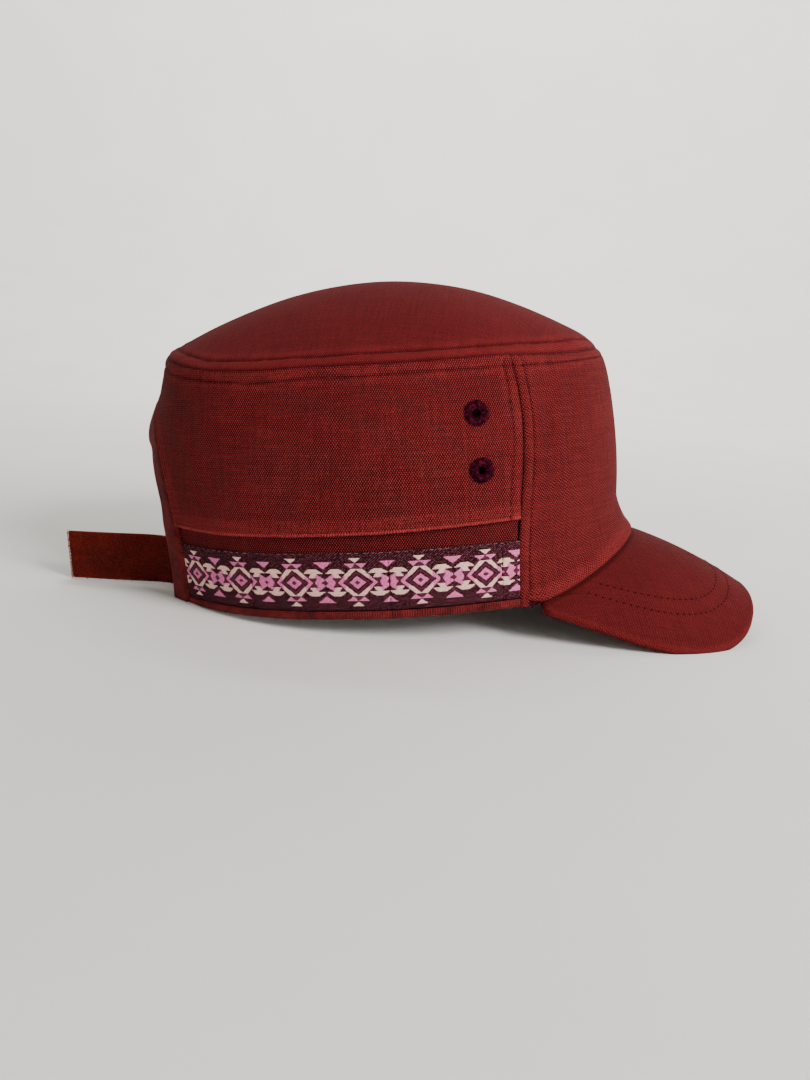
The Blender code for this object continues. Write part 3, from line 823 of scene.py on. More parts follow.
class Graph:
    """Short ways to add and join the nodes of a tree."""

    def __init__(self, tree):
        self.tree = tree

    def feed(self, socket, value):
        if isinstance(value, Value):
            value = value.socket
        if isinstance(value, bpy.types.NodeSocket):
            self.tree.links.new(value, socket)
        else:
            socket.default_value = value

    def add(self, kind, *values, **settings):
        """A node with its settings, its first inputs fed in order."""
        node = self.tree.nodes.new(kind)
        for key, value in settings.items():
            setattr(node, key, value)
        for socket, value in zip(node.inputs, values):
            self.feed(socket, value)
        return node

    def named(self, kind, inputs, **settings):
        """The first output of a node with its inputs fed by name."""
        node = self.add(kind, **settings)
        for label, value in inputs.items():
            self.feed(node.inputs[label], value)
        return node.outputs[0]

    def math(self, operation, *values):
        return Value(self, self.add("ShaderNodeMath", *values, operation=operation).outputs[0])


class Nodes(Graph):
    """A material and its shader nodes."""

    def __init__(self, name):
        self.material = bpy.data.materials.new(name)
        self.material.use_nodes = True
        super().__init__(self.material.node_tree)
        self.shader = self.tree.nodes["Principled BSDF"].inputs

    def object_place(self):
        return self.add("ShaderNodeTexCoord").outputs["Object"]

    def weave_place(self):
        return self.add("ShaderNodeUVMap", uv_map="weave").outputs["UV"]

    def parts(self, place):
        node = self.add("ShaderNodeSeparateXYZ", place)
        return Value(self, node.outputs[0]), Value(self, node.outputs[1])

    def mix(self, factor, first, second):
        node = self.add("ShaderNodeMix", data_type="RGBA")
        self.feed(node.inputs[0], factor)
        for socket, colour in zip(node.inputs[6:8], (first, second)):
            self.feed(socket, (*colour, 1.0) if isinstance(colour, tuple) else colour)
        return node.outputs[2]

    def spread(self, value, low, high, start=0.0, end=1.0):
        return Value(self, self.add("ShaderNodeMapRange", value, low, high, start, end).outputs[0])

    def wave(self, value, period):
        return self.math("SINE", value * (2 * math.pi / period))

    def noise(self, place, scale, detail=2.0, stretch=None, roughness=0.5):
        if stretch is not None:
            place = self.named("ShaderNodeMapping", {"Vector": place, "Scale": stretch})
        return Value(self, self.named("ShaderNodeTexNoise", {
            "Vector": place, "Scale": scale, "Detail": detail, "Roughness": roughness,
        }))

    def bump(self, height, strength, distance):
        self.feed(self.shader["Normal"], self.named("ShaderNodeBump", {
            "Strength": strength, "Distance": distance, "Height": height,
        }))

    def finish(self, colour, roughness, specular, sheen=0.0, sheen_tint=(1, 1, 1)):
        for label, value in (
            ("Base Color", colour), ("Roughness", roughness), ("Specular IOR Level", specular),
            ("Sheen Weight", sheen), ("Sheen Roughness", 0.4), ("Sheen Tint", (*sheen_tint, 1.0)),
        ):
            self.feed(self.shader[label], value)
        return self.material


def woven_finish(name, light, dark, contrast, slant=0.0):
    """Coarse woven cotton: raised yarn crossings, slanting lines, uneven dye, lighter welts, painted shade in
    valleys, painted highlight on folds.
    """
    nodes = Nodes(name)
    flat = nodes.weave_place()
    u, v = nodes.parts(flat)
    wobble_u = (nodes.noise(flat, 330.0) - 0.5) * 0.8
    wobble_v = (nodes.noise(flat, 250.0) - 0.5) * 0.8
    warp = nodes.wave(u * (1 / YARN_ACROSS) + wobble_u, 2.0)
    weft = nodes.wave(v * (1 / YARN_UP) + wobble_v, 2.0)
    crossing = warp * weft
    over = nodes.spread(crossing, -0.20, 0.80)
    between = nodes.spread(nodes.math("ABSOLUTE", crossing), 0.0, 0.30)
    slub = nodes.noise(flat, 60.0, 3.0, stretch=(14.0, 0.8, 1.0), roughness=0.7)
    slub = slub + nodes.noise(flat, 60.0, 3.0, stretch=(0.8, 14.0, 1.0), roughness=0.7) - 1.0
    fleck = nodes.noise(flat, 1100.0, roughness=0.7) - 0.5
    dye = nodes.noise(nodes.object_place(), 22.0, 3.0) - 0.5
    relief = nodes.add("ShaderNodeAttribute", attribute_name="relief").outputs["Fac"]
    line = nodes.wave(u * 0.45 + v * 0.70 + wobble_u * 0.0004, TWILL_LINE)
    line = line * nodes.spread(nodes.noise(flat, 260.0), 0.35, 0.60)
    tone = over * 0.80 + between * 0.20 + slub * 0.45 + fleck * 0.70 + line * slant
    tone = (tone - MIDDLE_TONE) * contrast + MIDDLE_TONE + dye * 0.25
    # painted shade: the cloth darkens with the depth of its seam grooves and stitch valleys, and lightens a
    # little on the welts
    tone = tone + nodes.spread(relief, -0.40, 0.20, -0.40, 0.04)
    # painted highlight: a light line along the highest ridges, the rolled lips of the folded edges
    tone = tone + nodes.spread(relief, 0.75, 1.0, 0.0, 0.45)
    colour = nodes.mix(nodes.spread(tone, 0.0, 1.0), dark, light)
    nodes.bump(over + slub * 0.4 + between * 0.5 + line * slant, min(0.8 * contrast, 1.0), 0.00020)
    return nodes.finish(colour, 0.9, specular=0.06, sheen=0.02, sheen_tint=(1.0, 0.25, 0.25))


def thread_finish(name, light, dark, roughness=0.65, low=0.35, high=0.65, specular=0.12):
    """Twisted sewing thread; low and high say how much of it is light."""
    nodes = Nodes(name)
    around = nodes.object_place()
    tone = nodes.noise(around, 900.0, roughness=0.6)
    colour = nodes.mix(nodes.spread(tone, low, high), dark, light)
    nodes.bump(nodes.noise(around, 2600.0, 1.0), 0.3, 0.0001)
    return nodes.finish(colour, roughness, specular)


def ribbon_ground_finish():
    """Dark twill ground of the ribbon, with pale slanting flecks."""
    nodes = Nodes("ribbon ground")
    flat = nodes.weave_place()
    u, v = nodes.parts(flat)
    line = nodes.wave(u * 0.80 + v * -0.95 + nodes.noise(flat, 420.0) * 0.00035, RIBBON_TWILL)
    broken = nodes.noise(flat, 1300.0, roughness=0.8)
    fleck = nodes.spread(line, 0.15, 0.80) * nodes.spread(broken, 0.48, 0.56)
    tint = nodes.noise(flat, 110.0, 3.0, roughness=0.7)
    ground = nodes.mix(nodes.spread(tint, 0.35, 0.65), (0.011, 0.0016, 0.0026), (0.028, 0.0020, 0.0062))
    colour = nodes.mix(fleck * 0.50, ground, (0.36, 0.13, 0.17))
    nodes.bump(broken * 0.5 + line, 0.5, 0.00012)
    return nodes.finish(colour, 0.8, specular=0.06)


def satin_finish(name, light, dark):
    """Floating pattern yarns of the ribbon."""
    nodes = Nodes(name)
    flat = nodes.weave_place()
    yarn = nodes.wave(nodes.parts(flat)[0] + nodes.noise(flat, 500.0) * 0.0003, SATIN_YARN)
    grain = nodes.noise(flat, 1700.0, roughness=0.75)
    tone = yarn * 0.22 + nodes.spread(grain, 0.38, 0.62, 0.1, 0.9)
    colour = nodes.mix(nodes.spread(tone, 0.0, 1.0), dark, light)
    nodes.bump(grain * 0.8 + yarn, 0.5, 0.0001)
    return nodes.finish(colour, 0.6, specular=0.2)


def tape_finish():
    """Folded cotton tape, fine ribs across its length."""
    nodes = Nodes("folded tape")
    flat = nodes.weave_place()
    u, v = nodes.parts(flat)
    rib = nodes.wave(u + nodes.noise(flat, 300.0) * 0.0006, TAPE_RIB)
    weft = nodes.wave(v, TAPE_WEFT)
    slub = nodes.noise(flat, 240.0, 3.0, roughness=0.7)
    dye = nodes.noise(nodes.object_place(), 60.0, 3.0) - 0.5
    tone = rib * 0.16 + weft * 0.10 + slub + dye * 0.6
    colour = nodes.mix(nodes.spread(tone, 0.2, 0.85), (0.026, 0.0016, 0.0024), (0.190, 0.017, 0.018))
    nodes.bump(slub * 0.8 + rib, 0.6, 0.00018)
    return nodes.finish(colour, 0.85, specular=0.12, sheen=0.04, sheen_tint=(1.0, 0.3, 0.3))


def pile_finish(name, light, dark):
    """Brushed loop pile."""
    nodes = Nodes(name)
    around = nodes.object_place()
    clump = nodes.noise(around, 420.0, 3.0, roughness=0.75)
    tone = nodes.noise(around, 70.0) * 0.5 + clump
    colour = nodes.mix(nodes.spread(tone, 0.45, 1.05), dark, light)
    nodes.bump(clump, 0.9, 0.0006)
    return nodes.finish(colour, 0.95, specular=0.15, sheen=0.25, sheen_tint=(1.0, 0.35, 0.25))


class Tree(Graph):
    """A geometry tree with named number inputs, a seed and a finish."""

    def __init__(self, name, *numbers):
        group = bpy.data.node_groups.new(name, "GeometryNodeTree")
        super().__init__(group)
        group.interface.new_socket("Geometry", in_out="OUTPUT", socket_type="NodeSocketGeometry")
        kinds = [("Geometry", "Geometry"), *((label, "Float") for label in numbers)]
        for label, kind in (*kinds, ("Seed", "Int"), ("Finish", "Material")):
            group.interface.new_socket(label, in_out="INPUT", socket_type="NodeSocket" + kind)
        self.entry = group.nodes.new("NodeGroupInput")
        self.exit = group.nodes.new("NodeGroupOutput")

    def given(self, label):
        return Value(self, self.entry.outputs[label])

    def vector(self, x, y, z):
        return self.add("ShaderNodeCombineXYZ", x, y, z).outputs[0]

    def bent_thread(self, start, middle, end, sides, steps):
        """A short bent tube drawn by three points."""
        line = self.named("GeometryNodeCurveQuadraticBezier", {
            "Resolution": steps, "Start": start, "Middle": middle, "End": end,
        })
        ring = self.named("GeometryNodeCurvePrimitiveCircle", {
            "Resolution": sides, "Radius": self.given("Radius"),
        })
        return self.named("GeometryNodeCurveToMesh", {
            "Curve": line, "Profile Curve": ring, "Fill Caps": True,
        })

    def random(self, kind, low, high):
        node = self.add("FunctionNodeRandomValue", data_type=kind)
        first = 0 if kind == "FLOAT_VECTOR" else 2
        self.feed(node.inputs[first], low)
        self.feed(node.inputs[first + 1], high)
        self.feed(node.inputs["Seed"], self.given("Seed"))
        return node.outputs[0 if kind == "FLOAT_VECTOR" else 1]

    def close(self, points, thread, rotation, **more):
        """Repeat a thread on points, make the repeats real with their finish and end the tree."""
        repeats = self.named("GeometryNodeInstanceOnPoints", {
            "Points": points, "Instance": thread, "Rotation": rotation, **more,
        })
        real = self.add("GeometryNodeRealizeInstances", repeats).outputs[0]
        smooth = self.add("GeometryNodeSetShadeSmooth", real).outputs[0]
        finish = self.named("GeometryNodeSetMaterial", {"Geometry": smooth, "Material": self.given("Finish")})
        self.feed(self.exit.inputs[0], finish)
        return self.tree


def stitch_tree():
    """Threads at even steps along lines, each bent down into the cloth at both ends."""
    tree = Tree("stitches along a line", "Pitch", "Length", "Radius", "Sink", "Lift", "Turn", "Wander")
    half = tree.given("Length") * 0.5
    low = -tree.given("Sink")
    lift = tree.vector(0.0, 0.0, tree.given("Lift"))
    thread = tree.bent_thread(tree.vector(-half, 0.0, low), lift, tree.vector(half, 0.0, low), 6, 5)
    turn = tree.vector(0.0, 0.0, tree.given("Turn"))
    thread = tree.named("GeometryNodeTransform", {"Geometry": thread, "Rotation": turn})
    line = tree.named("GeometryNodeMeshToCurve", {"Mesh": tree.given("Geometry")})
    pitch = tree.given("Pitch")
    even = tree.named("GeometryNodeResampleCurve", {"Curve": line, "Length": pitch}, mode="LENGTH")
    facing = tree.named("GeometryNodeInputNamedAttribute", {"Name": "facing"}, data_type="FLOAT_VECTOR")
    tangent = tree.add("GeometryNodeInputTangent").outputs[0]
    ahead = tree.named("FunctionNodeAlignRotationToVector", {"Vector": tangent}, axis="X")
    upright = tree.named("FunctionNodeAlignRotationToVector", {"Rotation": ahead, "Vector": facing},
                         axis="Z", pivot_axis="X")
    swing = tree.vector(0.0, 0.0, tree.random("FLOAT", -tree.given("Wander"), tree.given("Wander")))
    swung = tree.add("FunctionNodeRotateRotation", upright, swing, rotation_space="LOCAL").outputs[0]
    return tree.close(even, thread, swung)


def pile_tree():
    """Short bent fibres scattered over a face."""
    tree = Tree("pile on a face", "Density", "Length", "Radius", "Lean")
    length = tree.given("Length")
    foot = tree.vector(0.0, 0.0, length * -0.15)
    bend = tree.vector(0.0, 0.0, length * 0.9)
    fibre = tree.bent_thread(foot, bend, tree.vector(length * 0.7, 0.0, length * 0.7), 3, 3)
    spread = tree.add("GeometryNodeDistributePointsOnFaces")
    for label, given in (("Mesh", "Geometry"), ("Density", "Density"), ("Seed", "Seed")):
        tree.feed(spread.inputs[label], tree.given(given))
    lean = tree.given("Lean")
    tilt = tree.random("FLOAT_VECTOR", tree.vector(-lean, -lean, -3.14), tree.vector(lean, lean, 3.14))
    leaning = tree.add("FunctionNodeRotateRotation", spread.outputs["Rotation"], tilt, rotation_space="LOCAL")
    size = tree.random("FLOAT", 0.6, 1.25)
    return tree.close(spread.outputs["Points"], fibre, leaning.outputs[0], Scale=size)


def grow(piece, group, **values):
    """Run a geometry tree on a piece and keep its result as plain mesh."""
    modifier = piece.modifiers.new("grow", "NODES")
    modifier.node_group = group
    for socket in group.interface.items_tree:
        if socket.in_out == "INPUT" and socket.name in values:
            modifier[socket.identifier] = values[socket.name]
    return settle(piece)


def lines_piece(name, lines):
    """Open lines of places and facings, ready for stitches."""
    mesh = bpy.data.meshes.new(name)
    places, facings, edges = [], [], []
    for line in lines:
        first = len(places)
        for place, facing in line:
            places.append(rest(place))
            facings.append(turned(facing))
        edges += [(first + k, first + k + 1) for k in range(len(line) - 1)]
    mesh.from_pydata(places, edges, [])
    attribute = mesh.attributes.new("facing", "FLOAT_VECTOR", "POINT")
    attribute.data.foreach_set("vector", [number for facing in facings for number in facing])
    piece = bpy.data.objects.new(name, mesh)
    bpy.context.scene.collection.objects.link(piece)
    return piece


def sew(name, lines, finish, slot, seed, pitch=0.0026, length=0.0021, radius=0.00023, sink=0.00030,
        lift=0.00022, turn=0.0, wander=0.05):
    """A piece of stitches along lines."""
    piece = lines_piece(name, lines)
    grow(piece, STITCHES, Pitch=pitch, Length=length, Radius=radius, Sink=sink, Lift=lift, Turn=turn,
         Wander=wander, Seed=seed, Finish=finish)
    return place_piece(piece, slot)


@contextmanager
def opened(mesh):
    """A mesh opened for rework, then written back."""
    work = bmesh.new()
    work.from_mesh(mesh)
    work.verts.ensure_lookup_table()
    yield work
    work.to_mesh(mesh)
    work.free()


def cloth_piece(name, ending, rows, finish, thickness, slot, **grid):
    """A piece of cloth through rows of points, in place of the solid of its name."""
    piece = thicken(new_piece(name + ending, grid_mesh(name, rows, **grid), finish), thickness)
    return place_piece(piece, slot, name)


def make_crown_top(finish):
    """The domed top panel, its weave laid by distance over the dome."""
    stretch = CROWN_ROW_DISTANCE / ROW_DISTANCE
    angles = [360 * j / CROWN_SECTORS - 180 for j in range(CROWN_SECTORS)]
    rings = [[1.0] * CROWN_SECTORS]
    rings += [[reach_at(angle, distance * stretch) for angle in angles] for distance in NEAR_SEAM[1:]]
    last = rings[-1]
    rings += [[reach * (1 - (k + 1) / (CROWN_RINGS + 1)) for reach in last] for k in range(CROWN_RINGS)]
    rows = []
    for i, ring in enumerate(rings):
        row = []
        for angle, reach in zip(angles, ring):
            place, relief = crown_place(angle, reach)
            if i == 0:
                place = place.lerp(wall(angle, place.z) + front_corner(angle, 0.0), 0.5)
            row.append((place, relief))
        rows.append(row)
    pole = dome_point(0, 0.0)
    reached = [0.0] * CROWN_SECTORS
    before = [pole] * CROWN_SECTORS
    for row in reversed(rows):
        for j, (place, relief) in enumerate(row):
            reached[j] += (place - before[j]).length
            before[j] = place
            turn = math.atan2(place.y, place.x - pole.x)
            row[j] = (place, (pole.x + reached[j] * math.cos(turn), reached[j] * math.sin(turn)), relief)
    mesh = grid_mesh("crown_top", rows, closed=True)
    with opened(mesh) as work:
        ring = work.verts[(len(rows) - 1) * CROWN_SECTORS:]
        middle = work.verts.new(rest(pole))
        layer = work.loops.layers.uv["weave"]
        for j in range(CROWN_SECTORS):
            k = (j + 1) % CROWN_SECTORS
            face = work.faces.new((ring[j], ring[k], middle))
            face.smooth = True
            for loop, spot in zip(face.loops, (rows[-1][j][1], rows[-1][k][1], (pole.x, 0.0))):
                loop[layer].uv = spot
    piece = thicken(new_piece("crown_top_cloth", mesh, finish), CLOTH)
    place_piece(piece, "cloth", "crown_top")


def make_front_panel(finish):
    """The tall front panel, standing on the peak."""
    edge = [FRONT_SEAM_ANGLE - step / SEAM_METRES for step in NEAR_SEAM]
    columns = [-angle for angle in edge[:-1]]
    columns += [edge[-1] * share for share in even_steps(-1.0, 1.0, FRONT_COLUMNS)]
    columns += reversed(edge[:-1])
    lines = []
    for column in columns:
        size = abs(column)
        foot = 0.0
        if size <= CORNER_ANGLE:
            foot = peak_root(math.copysign(min(size, ROOT_CLEAR_ANGLE), column)).z
        foot = foot + (section("rim", column) - foot) * smooth_step((size - ROOT_HALF_ANGLE) / FOOT_EASE)
        seam = section("seam", column)
        top = seam - NEAR_SEAM[-1]
        heights = [foot + (top - foot) * share ** FRONT_ROW_GROWTH
                   for share in even_steps(0.0, 1.0, FRONT_ROWS)[:-1]]
        heights += [seam - step for step in reversed(NEAR_SEAM)]
        follow_seam = smooth_step((size - SEAM_FOLLOW_FROM) / SEAM_FOLLOW_OVER)
        line = []
        for height in heights:
            angle = column * (1 + (front_seam(height) / FRONT_SEAM_ANGLE - 1) * follow_seam)
            place, relief = front_place(angle, height)
            if not line and size < ROOT_CLEAR_ANGLE:
                place.z = max(place.z, peak_height(place.x, place.y) - FOOT_SINK)
            line.append((place, (arc(SIDE_ARC, angle), height), relief))
        lines.append(line)
    piece = cloth_piece("front_panel", "_cloth", list(zip(*lines)), finish, CLOTH, "cloth")


def side_edge(share):
    """Lower and upper end of a side panel's column: share 0 to 1 along the fold, 1 to 2 round the arch."""
    if share <= 1.0:
        low = front_seam(section("fold", FRONT_SEAM_ANGLE))
        high = front_seam(section("seam", FRONT_SEAM_ANGLE))
        low = low + (FOLD_END - low) * share
        high = high + (FOLD_END - UPPER_LEAD - high) * share
        return (low, section("fold", low)), (high, section("seam", high))
    high = FOLD_END - UPPER_LEAD + (180 - FOLD_END + UPPER_LEAD) * (share - 1)
    return arch_point(FOLD_TURN + (90 - FOLD_TURN) * (share - 1)), (high, section("seam", high))


def make_side_panel(label, side, finish):
    """A side panel with its rolled lower fold, its share of the back arch and its two eyelet holes."""
    fold_length = arc(SIDE_ARC, FOLD_LAST_ANGLE) - arc(SIDE_ARC, FRONT_SEAM_ANGLE)
    shares = [step / fold_length for step in NEAR_SEAM]
    shares += even_steps(shares[-1], 1.0, FOLD_COLUMNS)[1:]
    shares += even_steps(1.0, ARCH_COLUMNS_TO, ARCH_COLUMNS)[1:]
    shares += [2.0 - step for step in CENTRE_STEPS]
    first_low, first_high = (end[0] for end in side_edge(0.0))
    lines = []
    for share in shares:
        low, high = side_edge(share)
        length = high[1] - low[1]
        plain = length - NEAR_FOLD[-1] - NEAR_SEAM[-1]
        ups = [0.0, *NEAR_FOLD]
        ups += [NEAR_FOLD[-1] + plain * step for step in even_steps(0.0, 1.0, SIDE_ROWS)[1:-1]]
        ups += [length - step for step in reversed(NEAR_SEAM)]
        line = []
        for up in ups:
            height = low[1] + up
            angle = low[0] + (high[0] - low[0]) * (up / length)
            sway = front_seam(height) - (first_low + (first_high - first_low) * (up / length))
            angle += sway * max(0.0, 1 - share / SWAY_SHARE)
            place, relief = side_place(side * angle, height)
            if not line:
                place = off_wall(side * angle, height, -FOLD_TUCK)
            line.append((place, (side * arc(SIDE_ARC, angle), height), relief))
        lines.append(line)
    holes = [wall(side * EYELET_ANGLE, height) for height in EYELET_HEIGHTS.values()]

    def keep(middle):
        return all((middle - hole).length > EYELET_CLEARED for hole in holes)

    piece = cloth_piece("side_panel_" + label, "_cloth", list(zip(*lines)), finish, CLOTH, "cloth",
                        flip=side < 0, keep=keep)


def tucked(share, tuck):
    """A share along the band, stretched to run on under its neighbours at both ends."""
    return share * (1 + tuck[0] + tuck[1]) - tuck[0]


def band_grid(side, to_fold, proud, columns, levels):
    """Rows of the lower band from the hem up to the fold, or as high as the ribbon is wide."""
    lines = []
    for j in range(columns + 1):
        share = tucked(j / columns, BAND_TUCK if to_fold else RIBBON_TUCK)
        middle = band_angle(share, RIBBON_WIDTH / 2)
        if to_fold:
            low = section("rim", middle) + HEM_HEIGHT * BAND_START
            high = section("fold", middle) + BAND_PAST_FOLD
        else:
            low = section("rim", middle) + HEM_HEIGHT + GAP
            high = low + RIBBON_WIDTH
        line = []
        for height in even_steps(low, high, levels):
            angle = side * band_angle(share, height)
            # the band's low relief darkens it, painted shade under the fold
            line.append((off_wall(angle, height, proud), (arc(BAND_ARC, angle), height), BAND_PAINTED_SHADE))
        lines.append(line)
    return list(zip(*lines))


def make_band(label, side, finish):
    """The plain cloth band under the fold."""
    rows = band_grid(side, True, -BAND_SET_BACK, BAND_COLUMNS, BAND_ROWS)
    piece = cloth_piece("band_" + label, "_cloth", rows, finish, CLOTH, "cloth", flip=side < 0)


def inside(corners, x, y):
    """Whether a point lies in a polygon."""
    found = False
    for (x1, y1), (x2, y2) in zip(corners, corners[1:] + corners[:1]):
        if (y1 > y) != (y2 > y) and x < x1 + (x2 - x1) * (y - y1) / (y2 - y1):
            found = not found
    return found


def yarn_at(along, up):
    """Which yarn shows at a place of the ribbon, in millimetres."""
    nearest = min(LOZENGES, key=lambda centre: abs(along - centre))
    x = abs(along - nearest)
    if x > REPEAT / 2 + 0.6:
        x = REPEAT - x
    x = min(max(x, 0.0), REPEAT / 2 - 0.01)
    for colour, corners in MOTIF:
        if inside(corners, x, max(abs(up), 0.01)):
            return YARNS.index(colour)
    return 0


def ribbon_angle(share):
    """Plan angle at a share of the ribbon's length."""
    return band_angle(tucked(share, RIBBON_TUCK), BAND_LEVEL)


def make_ribbon(label, side, finishes):
    """The patterned ribbon, raised where its pattern yarns float, drawn in at its tacks."""
    beside = arc(BAND_ARC, 90.0)
    length = arc(BAND_ARC, band_angle(1.0, BAND_LEVEL)) - arc(BAND_ARC, band_angle(0.0, BAND_LEVEL))
    columns = round(length / RIBBON_CELL)
    levels = round(RIBBON_WIDTH / RIBBON_CELL)
    coarse = band_grid(side, False, 0.0, columns, RIBBON_LEVELS)
    angles = [ribbon_angle(j / columns) for j in range(columns + 1)]
    normals = [outward(side * angle, BAND_LEVEL) for angle in angles]
    alongs = [(beside - arc(BAND_ARC, angle)) * 1000 for angle in angles]
    middles = [(beside - arc(BAND_ARC, ribbon_angle((j + 0.5) / columns))) * 1000 for j in range(columns)]
    ups = [((i + 0.5) / levels - 0.5) * RIBBON_WIDTH * 1000 for i in range(levels)]
    yarns = [[yarn_at(middle, up) for middle in middles] for up in ups]
    rows = []
    for i in range(levels + 1):
        row = []
        level = min(int(i / levels * RIBBON_LEVELS), RIBBON_LEVELS - 1)
        part = i / levels * RIBBON_LEVELS - level
        edge = min(i, levels - i) / levels * RIBBON_WIDTH
        for j, (along, normal) in enumerate(zip(alongs, normals)):
            place = coarse[level][j][0].lerp(coarse[level + 1][j][0], part)
            cells = [yarn > 0 for line in yarns[max(i - 1, 0):i + 1] for yarn in line[max(j - 1, 0):j + 1]]
            raised = RIBBON_RAISE * sum(cells) / len(cells)
            tack = min(abs(along - centre) for centre in TACKS) / 1000
            drawn = TACK_DEPTH * (1 - smooth_step(tack / TACK_HALF_WIDTH))
            wave = RIBBON_WAVE * noise.noise(place / RIBBON_WAVE_LENGTH)
            proud = RIBBON_FACE + raised + wave - drawn
            proud -= RIBBON_EDGE_DROP * (1 - smooth_step(edge / RIBBON_EDGE))
            weave = (along / 1000, coarse[0][j][1][1] + i / levels * RIBBON_WIDTH)
            row.append((place + normal * proud, weave, 0.0))
        rows.append(row)
    name = "ribbon_" + label
    mesh = grid_mesh(name, rows, flip=side < 0)
    piece = new_piece(name + "_weave", mesh, finishes[0])
    for finish in finishes[1:]:
        mesh.materials.append(finish)
    mesh.polygons.foreach_set("material_index", [yarn for row in yarns for yarn in row])
    thicken(piece, RIBBON_THICKNESS)
    place_piece(piece, "ribbon", name)


def make_hem(label, side, finish):
    """The folded tape along the rim: down outside, round the bottom and up inside."""
    half = HEM_THICKNESS / 2
    rows = []
    girth = 0.0
    previous = HEM_PROFILE[0]
    for across, up in HEM_PROFILE:
        girth += math.hypot((across - previous[0]) * half, (up - previous[1]) * HEM_HEIGHT)
        previous = (across, up)
        row = []
        for j in range(HEM_COLUMNS + 1):
            share = tucked(j / HEM_COLUMNS, RIBBON_TUCK)
            height = section("rim", band_angle(share, HEM_HEIGHT / 2)) + HEM_HEIGHT * up
            angle = side * band_angle(share, height)
            place = off_wall(angle, height, HEM_PROUD - half + half * across)
            swell = HEM_SWELL * noise.noise(place / HEM_SWELL_LENGTH)
            place += outward(angle, height) * (swell * across)
            row.append((place, (arc(BAND_ARC, angle), girth), 0.0))
        rows.append(row)
    piece = cloth_piece("hem_" + label, "_tape", rows, finish, TAPE, "trim", flip=side < 0)


def arch_place(turn, side):
    """A point of the panels' edge at the arch."""
    angle, height = arch_point(turn)
    return wall(side * angle, height)


def binding_place(turn, side, across, proud):
    """A point of the binding: turn along the arch, across from the panels' edge, proud of the cloth."""
    angle, height = arch_point(turn)
    along = arch_place(min(90.0, turn + PROBE_ANGLE), side) - arch_place(max(0.0, turn - PROBE_ANGLE), side)
    if turn >= 90.0:
        along = Vector((0, -side, 0))
    along.normalize()
    normal = outward(side * angle, height)
    inwards = normal.cross(along) * -side
    turned_out = smooth_step((height - BINDING_TURN_FROM) / (BINDING_TURN_TO - BINDING_TURN_FROM))
    lean = BINDING_TURN * turned_out * math.sqrt(abs(math.cos(math.radians(turn))))
    reach = inwards * math.cos(lean) + normal * math.sin(lean)
    lift = normal * math.cos(lean) - inwards * math.sin(lean)
    return arch_place(turn, side) + reach * across + lift * proud


def make_binding(finish):
    """The folded tape round the back arch, its outer edge gently wavy."""
    turns = [90 * share ** BINDING_CROWDING for share in even_steps(0.0, 1.0, BINDING_STEPS)]
    stations = [(-1, turn) for turn in turns] + [(1, turn) for turn in reversed(turns[:-1])]
    rows = []
    for across, up in BINDING_PROFILE:
        row = []
        length = 0.0
        previous = None
        for side, turn in stations:
            height = arch_point(turn)[1]
            fade = math.cos(math.radians(turn)) ** 0.5
            wave = 0.0
            for centre, half, reach in BINDING_WAVES:
                wave += reach * math.exp(-((height - centre) / half) ** 2) * fade
            if side > 0:
                wave *= LEFT_WAVE_SHARE
            proud = BINDING_PROUD - BINDING_THICKNESS * (1 - up)
            place = binding_place(turn, side, BINDING_WIDTH * across + wave * across, proud)
            place += Vector((1, 1, 1)) * (BINDING_SWELL * noise.noise(place / BINDING_SWELL_LENGTH) * across)
            if turn == 0.0:
                place.z = min(place.z, surface_height(place))
            if previous is not None:
                length += (place - previous).length
            previous = place
            row.append((place, (length, across * BINDING_WEAVE[0] + up * BINDING_WEAVE[1]), 0.0))
        rows.append(row)
    piece = cloth_piece("opening_binding", "_tape", rows, finish, TAPE, "trim", flip=True)


def make_eyelet(label, side, height, finish):
    """A ring of close radial stitches over a padded core, with a barrel through the cloth."""
    centre = side_place(side * EYELET_ANGLE, height)[0]
    normal = outward(side * EYELET_ANGLE, height)
    across = Vector((0, 0, 1)).cross(normal).normalized()
    up = normal.cross(across)

    def spoke(share):
        return across * math.cos(2 * math.pi * share) + up * math.sin(2 * math.pi * share)

    rows = []
    for k in range(EYELET_SIDES + 1):
        turn = 2 * math.pi * k / EYELET_SIDES
        rows.append([(centre + spoke(k / EYELET_SIDES) * radius + normal * proud,
                      (turn * EYELET_WEAVE, radius), 0.0)
                     for radius, proud in EYELET_CORE])
    name = "eyelet_" + label
    mesh = grid_mesh(name, rows)
    with opened(mesh) as work:
        bmesh.ops.remove_doubles(work, verts=work.verts, dist=1e-6)
        points = list(work.verts)
        first = points[:EYELET_SIDES * len(EYELET_CORE):len(EYELET_CORE)]
        last = points[len(EYELET_CORE) - 1:EYELET_SIDES * len(EYELET_CORE):len(EYELET_CORE)]
        for k in range(EYELET_SIDES):
            after = (k + 1) % EYELET_SIDES
            work.faces.new((last[k], first[k], first[after], last[after]))
        bmesh.ops.recalc_face_normals(work, faces=work.faces)
    place_piece(new_piece(name + "_core", mesh, finish), "thread", name)
    ring = [(centre + spoke(share) * EYELET_RING + normal * EYELET_RING_PROUD, normal)
            for share in even_steps(0.0, 1.0, EYELET_RING_STEPS)]
    pitch = 2 * math.pi * EYELET_RING / EYELET_WRAPS
    sew(name + "_wraps", [ring], finish, "thread", 4, pitch=pitch, length=0.0031, radius=0.00025,
        sink=0.00045, lift=0.00125, turn=math.pi / 2, wander=0.13)


def peak_edge(share):
    """Plan point on the peak's free edge, share -1 at the right end, 1 at the left."""
    turn = math.radians(PEAK_END_TURN * share)
    x = PEAK_CENTRE + (PEAK_TIP - PEAK_CENTRE) * abs(math.cos(turn)) ** (2 / PEAK_POWER)
    return Vector((x, PEAK_HALF_WIDTH * signed_power(math.sin(turn), 2 / PEAK_POWER), 0))


